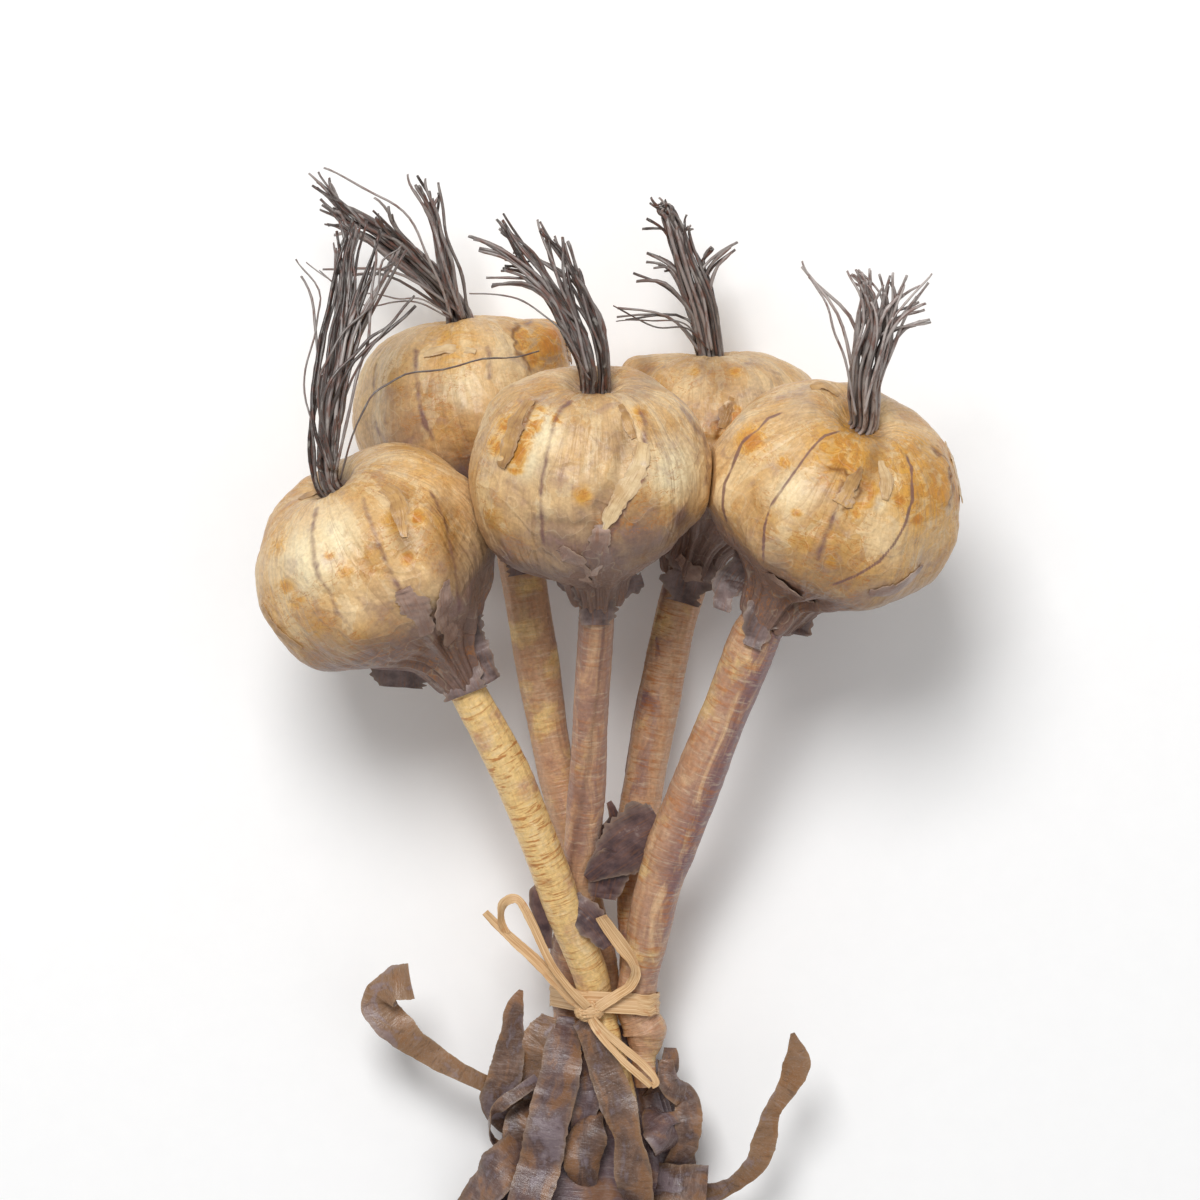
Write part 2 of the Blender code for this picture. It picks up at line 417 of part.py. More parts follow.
def head_point(bulb, number, angle, ring_share, height_share):
    """A point of the head's surface. Below its widest ring the head bends towards its stem."""
    middle = Vector(bulb["middle"])
    axis = Vector(bulb["roots"]).normalized()
    neck = Vector(bulb["neck"])
    stem_start, stem_next = (Vector(STEMS[number][index][0]) for index in (0, 1))
    stem_up = (stem_start - stem_next).normalized()
    east = axis.orthogonal().normalized()
    north = axis.cross(east)
    outward = east * math.cos(angle) + north * math.sin(angle)
    if height_share >= 0.0:
        return middle + axis * bulb["half"] * height_share + outward * head_radius(
            bulb, number, angle, ring_share)
    length = (neck - middle).length
    share = -height_share
    leave = middle - axis * length * SPINE_LEAVES
    arrive = neck + stem_up * length * SPINE_ARRIVES
    rest = 1.0 - share
    spine = (middle * rest ** 3 + leave * 3.0 * rest ** 2 * share
             + arrive * 3.0 * rest * share ** 2 + neck * share ** 3)
    course = ((leave - middle) * rest ** 2 + (arrive - leave) * 2.0 * rest * share
              + (neck - arrive) * share ** 2)
    outward.rotate((-axis).rotation_difference(course))
    radius = head_radius(bulb, number, angle, ring_share)
    to_neck = smooth_step((share - NECK_FROM) / (1.0 - NECK_FROM))
    neck_radius = bulb["neck_radius"] * ring_share / PROFILE[-2][0]
    return spine + outward * (radius * (1.0 - to_neck) + neck_radius * to_neck)


def press_apart(points, number):
    """Flatten a head where it leans on its neighbours and where it lies on the floor."""
    middle = Vector(BULBS[number]["middle"])
    for pair in PRESSED_PAIRS:
        if number not in pair:
            continue
        other = pair[0] if pair[1] == number else pair[1]
        towards = Vector(BULBS[other]["middle"]) - middle
        own_share = BULBS[number]["radius"] / (BULBS[number]["radius"] + BULBS[other]["radius"])
        limit = towards.length * own_share - GAP
        towards.normalize()
        for point in points:
            beyond = (point - middle).dot(towards) - limit
            if beyond > 0.0:
                point -= towards * beyond
    for point in points:
        point.z = max(point.z, 0.0)


def make_bulb(number, group):
    bulb = BULBS[number]
    head = bmesh.new()
    rings = len(PROFILE) - 1
    bmesh.ops.create_uvsphere(head, u_segments=HEAD_SEGMENTS, v_segments=rings, radius=1.0)
    for vert in head.verts:
        ring = round(math.acos(max(-1.0, min(1.0, vert.co.z))) / math.pi * rings)
        ring_share, height_share = PROFILE[ring]
        angle = math.atan2(vert.co.y, vert.co.x)
        vert.co = head_point(bulb, number, angle, ring_share, height_share)
    press_apart([vert.co for vert in head.verts], number)
    made = object_from(f"bulb_{number}", head, group)
    flaps = [
        strip(f"bulb_{number}_flap_{index}", group, route, widths, facing, SKIN_THICKNESS,
              FLAP_STATIONS, 1, FLAP_CRINKLE)
        for index, (route, widths, facing) in enumerate(NECK_FLAPS[number])
    ]
    return union(made, flaps)


def tube(name, group, line, sides):
    """A tube along the line's points, as wide at each as its radius says, with closed ends."""
    curve = bpy.data.curves.new(name, "CURVE")
    curve.dimensions = "3D"
    curve.bevel_depth = MM
    curve.bevel_resolution = sides // 2 - 2
    curve.use_fill_caps = True
    spline = curve.splines.new("POLY")
    spline.points.add(len(line) - 1)
    for point, (place, radius) in zip(spline.points, line):
        point.co = (*(TO_PART @ place), 1.0)
        point.radius = radius
    made = bpy.data.objects.new(name, curve)
    group.objects.link(made)
    return as_mesh(made, group)


def make_stem(number, group):
    line = [(Vector(place), radius) for place, radius in STEMS[number]]
    first, second = line[0][0], line[1][0]
    line[0] = (first + (second - first).normalized() * FACE_TO_NECK, line[0][1])
    made = tube(f"stem_{number}", group, line, STEM_SIDES)
    peels = [
        strip(f"stem_{number}_peel_{index}", group, route, widths, facing, SKIN_THICKNESS, PEEL_STATIONS)
        for index, (route, widths, facing) in enumerate(STEM_FLAPS.get(number, ()))
    ]
    return union(made, peels) if peels else made


def make_tuft(number, group):
    """The roots of one head: closed bundles near the root plate, then single roots in fans."""
    bulb = BULBS[number]
    axis = Vector(bulb["roots"]).normalized()
    plate = Vector(bulb["middle"]) + axis * (bulb["half"] * PROFILE[1][1] + GAP)
    start = [(plate, TUFT_RADIUS), (plate + axis * TUFT_NECK, TUFT_RADIUS)]
    bundles = [
        start + [(Vector(place), radius) for place, radius in bundle] for bundle in TUFT_BUNDLES[number]
    ]
    pieces = [
        tube(f"bundle_{number}_{index}", group, bundle, BUNDLE_SIDES)
        for index, bundle in enumerate(bundles)
    ]
    draw = random.Random(70 + number)
    for index, leaves_at, end, spread, count in FANS[number]:
        middles = [place for place, _ in bundles[index]]
        for _ in range(count):
            stray = Vector((draw.uniform(-1, 1), draw.uniform(-1, 1), draw.uniform(-0.7, 0.7)))
            inside = on_curve(middles, leaves_at * ROOT_RUN_IN)
            leaving = on_curve(middles, leaves_at) + stray * min(spread, LEAVING_LIMIT) * LEAVING_SPREAD
            points = [inside, leaving, Vector(end) + stray * spread]
            line = [
                (on_curve(points, step / ROOT_STATIONS), ROOT_THICKNESS / 2.0)
                for step in range(ROOT_STATIONS + 1)
            ]
            pieces.append(tube(f"root_{number}_{len(pieces)}", group, line, ROOT_SIDES))
    made = pieces.pop(0)
    made.name = f"root_tuft_{number}"
    return union(made, pieces)


def make_leaves(group):
    core = bmesh.new()
    rings = len(LEAF_CORE) + 1
    bmesh.ops.create_uvsphere(core, u_segments=LEAF_CORE_SEGMENTS, v_segments=rings, radius=1.0)
    for vert in core.verts:
        ring = round(math.acos(max(-1.0, min(1.0, vert.co.z))) / math.pi * rings)
        pole = ring in (0, rings)
        away, middle, half_width, half_height = LEAF_CORE[min(max(ring - 1, 0), len(LEAF_CORE) - 1)]
        angle = math.atan2(vert.co.y, vert.co.x)
        width = 0.0 if pole else half_width
        height = 0.0 if pole else half_height
        lift = LEAF_CORE_REACH + (LEAF_CORE_RISE if ring <= 1 else 0.0)
        vert.co = Vector((middle + width * math.cos(angle), away,
                          max(lift + height * math.sin(angle), 0.0)))
    made = object_from("dried_leaves", core, group)
    ribbons = [
        strip("leaf " + name, group, route, widths, facing, LEAF_THICKNESS, RIBBON_STATIONS,
              2 if roll > 60 else 1, crinkle, roll)
        for name, (route, widths, facing, crinkle, roll) in RIBBONS.items()
    ]
    return union(made, ribbons)


def stem_section(number, away):
    """Where a stem passes a plane across the bundle, and its radius there."""
    for (above, wide), (below, narrow) in zip(STEMS[number], STEMS[number][1:]):
        if above[1] >= away >= below[1]:
            share = (above[1] - away) / (above[1] - below[1])
            place = Vector(above).lerp(Vector(below), share)
            return place.x, place.z, wide + (narrow - wide) * share
    raise ValueError("the stem does not reach this plane")


def band_points():
    """The taut line of the band round the five stems, as points in the plane y = 0."""
    edges = (-BAND_WIDTH * BAND_REACH, 0.0, BAND_WIDTH * BAND_REACH)
    rounds = [stem_section(number, away) for number in STEMS for away in edges]
    line = []
    for step in range(BAND_STATIONS):
        angle = math.tau * step / BAND_STATIONS
        way = (math.cos(angle), math.sin(angle))
        x, z, radius = max(rounds, key=lambda item: item[0] * way[0] + item[1] * way[1] + item[2])
        reach = radius + BAND_CLEARANCE + RAFFIA_THICKNESS / 2.0
        line.append(Vector((x + way[0] * reach, 0.0, z + way[1] * reach)))
    return line


def make_raffia(group):
    line = band_points()
    band = bmesh.new()
    bmesh.ops.create_grid(band, x_segments=BAND_STATIONS, y_segments=1, size=0.5)
    for vert in band.verts:
        step = round((vert.co.x + 0.5) * BAND_STATIONS) % BAND_STATIONS
        place = line[step]
        vert.co = Vector((place.x, vert.co.y * BAND_WIDTH + BAND_SLOPE * place.x, place.z))
    bmesh.ops.remove_doubles(band, verts=band.verts, dist=0.01)
    bmesh.ops.triangulate(band, faces=band.faces)
    made = object_from("raffia_tie", band, group)
    wall = made.modifiers.new("Wall", "SOLIDIFY")
    wall.thickness = RAFFIA_THICKNESS * MM
    wall.offset = 0.0
    made = as_mesh(made, group)
    knot = bmesh.new()
    bmesh.ops.create_uvsphere(knot, u_segments=10, v_segments=6, radius=0.5)
    size = Matrix.Diagonal((*KNOT_SIZE, 1.0))
    bmesh.ops.transform(knot, matrix=Matrix.Translation(KNOT_MIDDLE) @ size, verts=knot.verts)
    pieces = [object_from("knot", knot, group)]
    for name, (route, widths) in BOW.items():
        pieces.append(strip("bow " + name, group, route, widths, UP, RAFFIA_THICKNESS, BOW_STATIONS))
    return union(made, pieces)


def main():
    clear_scene()
    bundle = make_collection("dried_garlic_bundle")
    pieces = []
    for number in BULBS:
        pieces.append((make_bulb(number, bundle), "bulb"))
        pieces.append((make_stem(number, bundle), "stem"))
        pieces.append((make_tuft(number, bundle), "root_tuft"))
    pieces.append((make_leaves(bundle), "dried_leaves"))
    pieces.append((make_raffia(bundle), "raffia_tie"))
    for piece, kind in pieces:
        piece.data.materials.clear()
        piece.data.materials.append(make_material(piece.name, kind))
        piece.data.shade_smooth()
        piece.data.set_sharp_from_angle(angle=math.radians(40.0))


main()
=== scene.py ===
"""The looks of a bundle of dried garlic: five heads with their stems and roots, tied with raffia.

Metres, +Z up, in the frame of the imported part. Routes and places are in millimetres from the point
of the floor under the tie. Marks that are seen on the front are placed where the photograph's
1200 by 1200 frame shows them.
"""

import math
import random

import bpy
import numpy as np
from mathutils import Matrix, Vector


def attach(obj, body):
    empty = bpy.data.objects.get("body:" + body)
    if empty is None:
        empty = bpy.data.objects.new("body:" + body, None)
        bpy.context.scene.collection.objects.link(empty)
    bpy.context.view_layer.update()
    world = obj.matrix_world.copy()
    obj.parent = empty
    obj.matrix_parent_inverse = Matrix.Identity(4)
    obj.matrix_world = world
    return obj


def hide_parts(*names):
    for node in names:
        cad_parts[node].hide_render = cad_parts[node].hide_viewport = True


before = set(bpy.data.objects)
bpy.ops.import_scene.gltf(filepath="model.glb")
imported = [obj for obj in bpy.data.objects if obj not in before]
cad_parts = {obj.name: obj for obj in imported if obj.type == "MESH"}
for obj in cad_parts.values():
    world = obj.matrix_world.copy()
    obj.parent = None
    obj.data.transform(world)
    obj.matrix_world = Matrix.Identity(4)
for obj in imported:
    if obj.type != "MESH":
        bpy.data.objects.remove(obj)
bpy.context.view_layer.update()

MM = 0.001
TIE = np.array((-0.8, -48.0, 0.0))
UP = np.array((0.0, 0.0, 1.0))

# The camera looks straight down. Its place is in millimetres from the tie.
CAMERA = np.array((-0.508, 101.636, 1140.0))
LENS = 132.0
SENSOR = 36.0
PHOTO = 1200.0
FOCAL = LENS / SENSOR * PHOTO

# A garlic head seen from the side, from the root plate to the neck: how wide it is as a share of
# its radius, and how high as a share of its half height above and of its neck length below.
PROFILE = (
    (0.00, 0.86), (0.14, 0.90), (0.27, 0.99), (0.46, 0.975), (0.68, 0.84), (0.86, 0.60),
    (0.96, 0.32), (1.00, 0.03), (0.965, -0.17), (0.855, -0.335), (0.68, -0.48), (0.47, -0.61),
    (0.30, -0.76), (0.20, -1.00), (0.00, -1.00),
)
HEADS = {
    1: dict(middle=(-54.9, 112.0, 67.0), roots=(-0.500, 0.796, 0.342), radius=30.5, half=22.8,
            neck=(-34.5, 81.2, 56.0), neck_radius=5.8),
    2: dict(middle=(-33.4, 149.1, 26.9), roots=(-0.110, 0.988, 0.104), radius=28.7, half=23.3,
            neck=(-21.2, 116.3, 25.0), neck_radius=6.8),
    3: dict(middle=(-2.9, 131.5, 80.0), roots=(0.050, 0.912, 0.407), radius=28.9, half=24.2,
            neck=(-1.2, 101.1, 63.0), neck_radius=5.8),
    4: dict(middle=(28.6, 139.3, 26.0), roots=(-0.040, 0.994, 0.104), radius=27.4, half=24.6,
            neck=(21.6, 107.5, 24.0), neck_radius=6.4),
    5: dict(middle=(55.7, 126.4, 71.0), roots=(0.310, 0.785, 0.536), radius=31.6, half=23.8,
            neck=(40.1, 96.2, 57.0), neck_radius=6.6),
}
PRESSED_PAIRS = ((1, 2), (1, 3), (2, 3), (2, 4), (3, 4), (3, 5), (4, 5))
GAP = 0.3                   # between two heads that lean on each other
HEAD_AROUND = 400
HEAD_DOWN = 240
# How a head departs from round: its number of lobes and their height as a share of its radius. The
# seven are the cloves, the two make it oval and the three lopsided. They fade where it narrows.
HEAD_LOBES = ((7, 0.026), (2, 0.014), (3, 0.012))
LOBES_FULL = 1.4
# How straight the lower half of a head sets off from its middle and comes in to its stem, in lengths
# of its neck, and how far down the neck takes over its width.
SPINE_LEAVES = 0.4
SPINE_ARRIVES = 0.35
NECK_FROM = 0.7

# The skin. Its folds are measured round a head of a middling radius and down its profile, and each
# pair below is a share of the way down, where something starts and where it is full.
SKIN_ROUND = 30.0
SKIN_DOWN = 33.75
PLEAT_PITCH = 6.375         # pleats run down all of a head, and gather at its neck and its crown
PLEAT_HEIGHT = 0.10
PLEATS_ALL_OVER = 0.35
PLEATED_NECK = (0.55, 0.95)
PLEATED_CROWN = (0.22, 0.02)
CROWN_PLEATS = 0.8
FOLD_PITCH = 9.0            # folds of loose skin, lengthwise, at the neck and the crown
FOLD_STRETCH = (1.0, 1.0, 0.35)
FOLDED_NECK = (0.62, 0.84)
FOLDED_CROWN = (0.20, 0.05)
NECK_FOLDS = 0.75
CROWN_FOLDS = 0.30
# The mauve of the neck is partly the skin's own colour and partly painted shade.
DUSKY_NECK = (0.46, 0.72)   # the mauve of the neck and the crown, and its share of the colour
DUSKY_CROWN = (0.15, 0.03)
NECK_DUSK = 0.95
CROWN_DUSK = 0.75
BODY_FULL = 1.6             # how soon the relief grows from nothing at the poles of a head
# Bumps of the skin: pitch and height. Creases: pitch, widest value, height, and how deep they sink.
SKIN_BUMPS = {"lumps": (16.0, 0.26), "wrinkles": (4.6, 0.035)}
SKIN_CREASES = {"fine_creases": (7.5, 0.45, 0.24, 0.08), "creases": (15.0, 0.4, 0.35, 0.1)}

# The marks of the skin: how far up it faces where the marks of the front, or its swells, start and
# are full, how ragged their edges are, and over what share of a route they fade out at its ends.
FACING_UP = (-0.12, 0.18)
IN_VIEW = (-0.8, -0.3)
FRONT_FROM = 0.02           # how far up the skin faces, at least, where a flake lies on it
RAGGED_PITCH = 3.0
VEIN_RAGGED = 0.0875
TORN_RAGGED = 0.28
VEIN_ENDS = 1.0 / 12.0
CREASE_ENDS = 1.0 / 6.0
TORN_ENDS = 1.0 / 8.0
# how dark the painted shade in a crease is
CREASE_SHADE = 0.6
TORN_REACH = 9.0            # how far from its edge a torn layer still stands proud
TORN_EDGE_WIDTH = 0.6
GILDED_FROM_EDGE = 2.0      # the golden border beside a torn edge: its middle, width and share
GILDED_WIDTH = 1.8
GILDED_SHARE = 0.65
BACK_VEINS = 9              # veins round the unseen side, how they wander, in radians, and their widths
BACK_VEIN_WANDER = 0.05
BACK_VEIN_WIDTHS = (0.9, 1.5)
BACK_VEIN_STRENGTHS = (0.4, 0.8)
# The parts of the mark "tones", as its colour holds them: orange, mauve that is partly painted shade,
# cream that is partly painted highlight, and the painted shade of the creases.
ORANGE, MAUVE_AND_SHADE, CREAM_AND_HIGHLIGHT, SHADE = range(4)

STEMS = {
    1: (((-34.5, 81.2, 56.0), 4.5), ((-23.9, 61.2, 48.5), 4.9), ((-17.1, 44.2, 41.5), 4.8),
        ((-12.6, 32.3, 36.7), 4.7), ((-9.7, 24.0, 33.7), 4.6), ((-6.5, 16.0, 30.2), 4.4),
        ((-3.3, 7.7, 26.2), 4.3), ((-1.6, 0.0, 22.6), 4.2), ((0.6, -8.3, 22.5), 4.1),
        ((2.5, -15.8, 22.5), 3.9), ((4.9, -24.6, 22.5), 3.8), ((6.2, -32.0, 22.3), 3.7),
        ((7.3, -38.0, 21.9), 3.5), ((7.7, -42.0, 21.5), 3.2)),
    2: (((-21.2, 116.3, 25.0), 5.8), ((-17.2, 88.4, 22.0), 5.4), ((-12.1, 60.1, 18.0), 4.9),
        ((-7.8, 43.0, 15.8), 4.6), ((-5.3, 31.0, 14.6), 4.4), ((-2.2, 16.0, 13.6), 4.2),
        ((-0.4, 8.0, 13.2), 4.1), ((0.0, 0.0, 13.0), 4.1), ((0.0, -6.5, 13.0), 4.0)),
    3: (((-1.2, 101.1, 63.0), 4.5), ((-2.2, 80.0, 51.5), 4.6), ((-3.5, 60.0, 41.0), 4.7),
        ((-4.8, 44.0, 32.5), 4.7), ((-5.7, 31.0, 26.0), 4.5), ((-7.3, 22.0, 22.3), 4.4),
        ((-8.5, 15.5, 19.6), 4.2), ((-8.6, 8.0, 16.4), 4.1), ((-8.6, 0.0, 13.2), 4.1),
        ((-8.7, -6.5, 12.6), 4.0)),
    4: (((21.6, 107.5, 24.0), 5.3), ((17.6, 91.6, 22.8), 5.3), ((15.2, 79.0, 21.3), 5.2),
        ((10.3, 53.1, 17.8), 5.3), ((9.0, 40.0, 16.2), 5.1), ((8.2, 24.0, 14.6), 4.6),
        ((8.6, 8.0, 13.2), 4.2), ((8.6, 0.0, 12.7), 4.1), ((8.7, -4.6, 12.4), 4.0)),
    5: (((40.1, 96.2, 57.0), 5.7), ((37.2, 90.8, 55.4), 6.0), ((27.9, 66.6, 47.0), 6.0),
        ((18.8, 44.1, 38.5), 6.2), ((14.8, 32.3, 34.0), 5.8), ((10.2, 12.6, 27.2), 5.3),
        ((8.2, 0.0, 23.2), 5.0), ((9.2, -4.0, 22.4), 5.0), ((10.8, -7.5, 21.8), 5.6),
        ((10.8, -11.0, 21.4), 4.3), ((10.7, -15.8, 21.2), 3.1), ((11.2, -22.0, 21.0), 2.7)),
}
STEM_ALONG = 260
STEM_AROUND = 56
WRAP_STEP = 0.38            # height of the edge where a stem's outer leaf laps over itself
LAP_START = 0.22            # how far round the lap starts from one stem to the next, in turns
LAP_TURN = 260.0            # the length of stem in which the lap goes once round
LAP_LINE = 26.0             # how thin the dark line at the lap is
# The uneven surface of a stem: how it is stretched along and across, its pitch and its height.
STEM_BUMPS = {
    "ribs": ((0.06, 1.0, 1.0), 2.8, 0.07),
    "stem_swells": ((1.0, 0.6, 0.6), 16.0, 0.20),
    "stem_wrinkles": ((1.0, 0.15, 0.15), 1.5, 0.035),
}

# How each stem is coloured: shares of gold and of mauve, how marked its crosswise ticks are, the side
# that the mauve is on (1 left, -1 right), and how far down the stem and over what length it fades.
STEM_TONES = {
    1: dict(gold=0.95, mauve=0.12, ticks=0.95, mauve_side=-1.0, fades=200.0),
    2: dict(gold=0.45, mauve=0.18, ticks=0.4, mauve_side=-1.0, fades=200.0),
    3: dict(gold=0.20, mauve=0.80, ticks=0.4, mauve_side=0.0, fades=200.0),
    4: dict(gold=0.36, mauve=0.44, ticks=0.8, mauve_side=1.0, fades=200.0),
    5: dict(gold=0.45, mauve=1.00, ticks=0.7, mauve_side=-1.0, fades=62.0),
}
MAUVE_FADE = 14.0

# Thin strips of each kind: thickness, height of the crinkles, how ragged the edges are and how much
# wider than their solids they are, as shares of the width, and their faces along and across.
STRIPS = {
    "torn_skin": dict(thickness=0.22, crinkle=0.5, ragged=0.14, along=60, across=24),
    "skin_flake": dict(thickness=0.22, crinkle=0.12, ragged=0.13, roll=14.0, along=60, across=20),
    "peeled_sheath": dict(thickness=0.22, crinkle=0.2, ragged=0.06, swell=1.3, along=70, across=20),
    "leaf": dict(thickness=0.28, ragged=0.02, fine=0.03, twist=0.22, swell=1.15, along=150, across=12),
    "raffia": dict(thickness=0.22, crinkle=0.05, ragged=0.04, fine=0.02, twist=0.30, swell=0.86,
                   along=110, across=10),
}
CRISP_ANGLE = math.radians(38.0)
ROUTE_STEP = 0.01           # the share of a route over which its way ahead is read
NARROWEST = 0.3             # a strip is never narrower, nor its middle nearer to the floor
STRIP_OFF_FLOOR = 0.2
EDGE_PITCH = 5.0            # the two sizes of the tears along an edge
FRAY_PITCH = 1.8
EDGES_APART = 40.0          # keeps the tears of a strip's two edges unlike
CRINKLE_PITCH = 7.0
CRINKLE_STRETCH = 0.30      # below 1 the crinkles run across the strip
CRINKLE_DRIFT = 1.6         # how far the crinkles stray from a regular wave, in radians
CRINKLE_DRIFT_PITCH = 18.0
FINE_PITCH = 2.6
FACET_PITCH = 7.0           # sharp creases between flat facets: pitch, widest value, share of crinkle
FACET_WIDEST = 0.6
FACET_SHARE = 0.5
TWIST_PITCH = 30.0
RIM_SHARPNESS = 6           # the power of the distance from a strip's middle that marks its pale rim
STRIPS_APART = 7.0          # how far a strip's place in a pattern is from that of the next seed
TINT_STEP = 0.618

# Torn skin at the necks and peeled sheath on the stems: route, widths, the way the face looks.
NECK_FLAPS = {
    1: ((((-47.0, 93.0, 58.0), (-49.5, 85.5, 55.0), (-50.0, 80.0, 53.5)), (12, 14, 13), (0, -0.4, 1)),
        (((-33.8, 99.0, 64.0), (-31.8, 90.0, 62.5), (-27.4, 81.5, 60.5)), (8, 8.5, 5), (0.3, 0, 1)),
        (((-40.0, 92.0, 63.0), (-36.0, 84.5, 62.4), (-33.6, 78.5, 60.6)), (13, 12, 9), (0, -0.3, 1))),
    2: ((((-23.5, 122.0, 30.5), (-21.4, 115.0, 32.2), (-20.3, 108.0, 31.8)), (10, 10, 6), (0, 0, 1)),),
    3: ((((-2.0, 107.0, 70.5), (-1.6, 101.5, 69.2), (-1.6, 95.5, 66.8)), (10, 9, 7), (0, -0.45, 1)),
        (((1.0, 104.5, 66.6), (5.5, 105.0, 66.3), (9.9, 106.6, 65.8)), (6, 6.5, 3.5), (0.2, -0.4, 1)),
        (((-3.0, 105.0, 65.0), (-8.5, 107.5, 65.0), (-15.5, 112.5, 64.5)), (8, 7, 3), (-0.2, -0.5, 1))),
    4: ((((24.0, 115.0, 30.0), (21.8, 107.5, 30.6), (20.0, 101.0, 29.8)), (13, 12, 8), (0, 0, 1)),),
    5: ((((37.0, 112.0, 57.0), (31.6, 106.0, 57.0), (29.0, 99.3, 57.5)), (9, 8, 3.5), (-0.2, -0.2, 1)),
        (((42.5, 102.0, 62.8), (38.9, 96.5, 63.8), (36.4, 90.2, 63.0)), (10, 9, 5), (0, -0.3, 1)),
        (((47.8, 106.0, 61.0), (49.0, 98.8, 59.8), (47.9, 93.2, 59.3)), (10, 9, 4), (0.3, 0, 1))),
}
STEM_FLAPS = {
    1: ((((-8.0, 26.0, 35.8), (-4.0, 22.5, 36.6), (-0.8, 18.5, 36.0), (1.4, 14.5, 35.0)),
         (5, 6, 5.5, 2), (0, 0, 1)),
        (((-13.0, 31.0, 37.0), (-15.3, 26.5, 35.2), (-14.6, 20.0, 33.0), (-13.2, 13.8, 30.0)),
         (4, 5, 3.5, 1.2), (-0.4, 0, 1))),
    3: ((((-1.5, 42.0, 31.5), (1.4, 43.5, 32.2), (3.0, 47.0, 34.5), (1.8, 51.0, 36.5)),
         (5, 4, 2.5, 1), (0.5, 0, 1)),),
    5: ((((15.5, 45.0, 39.0), (8.5, 41.0, 36.6), (2.4, 36.6, 34.4), (-3.8, 31.5, 32.8)),
         (11, 15, 8.5, 2), (0.2, -0.1, 1)),
        (((3.6, 38.6, 35.4), (1.6, 33.0, 32.4), (0.2, 26.4, 30.6)), (6, 8.5, 5), (0.1, 0, 1))),
}

# Flakes of loose skin on the fronts of the heads: shade, route in the photograph's frame, widths.
FLAKES = {
    1: (("tan", ((384, 488), (395, 498), (401, 515), (404, 538)), (3.0, 4.5, 4.0, 1.5)),
        ("mauve", ((404, 588), (414, 608), (424, 634)), (4.0, 7.0, 5.0)),
        ("tan", ((263, 604), (278, 630), (302, 648)), (1.5, 2.6, 1.6)),
        ("tan", ((300, 500), (318, 490), (334, 482)), (1.5, 3.0, 1.5)),
        ("mauve", ((452, 640), (444, 610), (446, 580)), (6.0, 6.0, 2.0))),
    2: (("tan", ((560, 330), (568, 345), (572, 362)), (4.0, 5.0, 3.0)),
        ("pale", ((424, 356), (448, 350), (476, 352)), (1.5, 2.6, 1.2))),
    3: (("pale", ((643, 443), (638, 466), (627, 490), (612, 512), (604, 530)),
         (3.5, 4.6, 4.6, 3.6, 1.4)),
        ("tan", ((530, 402), (517, 425), (508, 447), (503, 468)), (2.6, 4.0, 4.6, 2.4)),
        ("mauve", ((603, 524), (600, 546), (590, 574)), (3.0, 5.5, 2.4)),
        ("mauve", ((560, 548), (575, 562), (585, 580)), (3.0, 6.0, 4.0)),
        ("tan", ((620, 405), (628, 422), (634, 438)), (1.2, 2.4, 1.4))),
    4: (("tan", ((733, 398), (726, 412), (722, 428)), (1.6, 3.4, 2.6)),
        ("mauve", ((676, 560), (690, 575), (700, 588)), (5.0, 6.0, 3.0))),
    5: (("tan", ((812, 389), (825, 387), (838, 396)), (2.0, 3.6, 1.6)),
        ("tan", ((861, 468), (851, 486), (842, 504)), (0.8, 3.4, 4.6)),
        ("pale", ((945, 444), (955, 470), (960, 500)), (3.0, 5.4, 3.0)),
        ("mauve", ((868, 592), (896, 588), (921, 566)), (2.4, 4.4, 2.4)),
        ("mauve", ((770, 572), (790, 590), (812, 600)), (3.0, 6.0, 4.0)),
        ("pale", ((880, 462), (886, 480), (884, 500)), (1.2, 3.4, 1.6))),
}
FLAKE_LIFT = 0.35           # how far a flake stands off the skin

# Root tufts: the roots leave the root plate in bundles, each a route with its radius. Then they part
# in fans: the bundle, how far up it the fan leaves, its middle end, spread and number of roots.
TUFT_BUNDLES = {
    1: ((((-66.7, 139.1, 77.5), 4.1), ((-65.8, 150.0, 78.5), 4.5), ((-63.9, 164.6, 77.0), 3.9),
         ((-62.4, 177.0, 75.0), 2.9)),),
    2: ((((-41.7, 180.0, 33.0), 3.6), ((-48.8, 187.0, 36.0), 3.8), ((-57.1, 192.4, 38.0), 3.4),
         ((-63.3, 196.8, 39.5), 2.2)),
        (((-37.2, 180.0, 33.5), 2.6), ((-39.3, 189.6, 36.0), 2.3), ((-41.0, 198.4, 38.0), 1.6))),
    3: ((((-2.7, 161.0, 95.0), 4.2), ((-6.5, 170.0, 97.0), 5.0), ((-11.6, 177.8, 98.0), 4.6),
         ((-16.5, 183.4, 98.5), 2.6)),),
    4: ((((25.8, 173.1, 32.0), 4.0), ((22.6, 182.7, 34.5), 4.0), ((19.6, 192.0, 36.5), 3.2),
         ((17.0, 198.0, 37.5), 2.0)),),
    5: ((((62.6, 152.9, 90.5), 4.2), ((64.2, 161.2, 96.0), 4.9), ((65.4, 168.0, 99.0), 4.2)),),
}
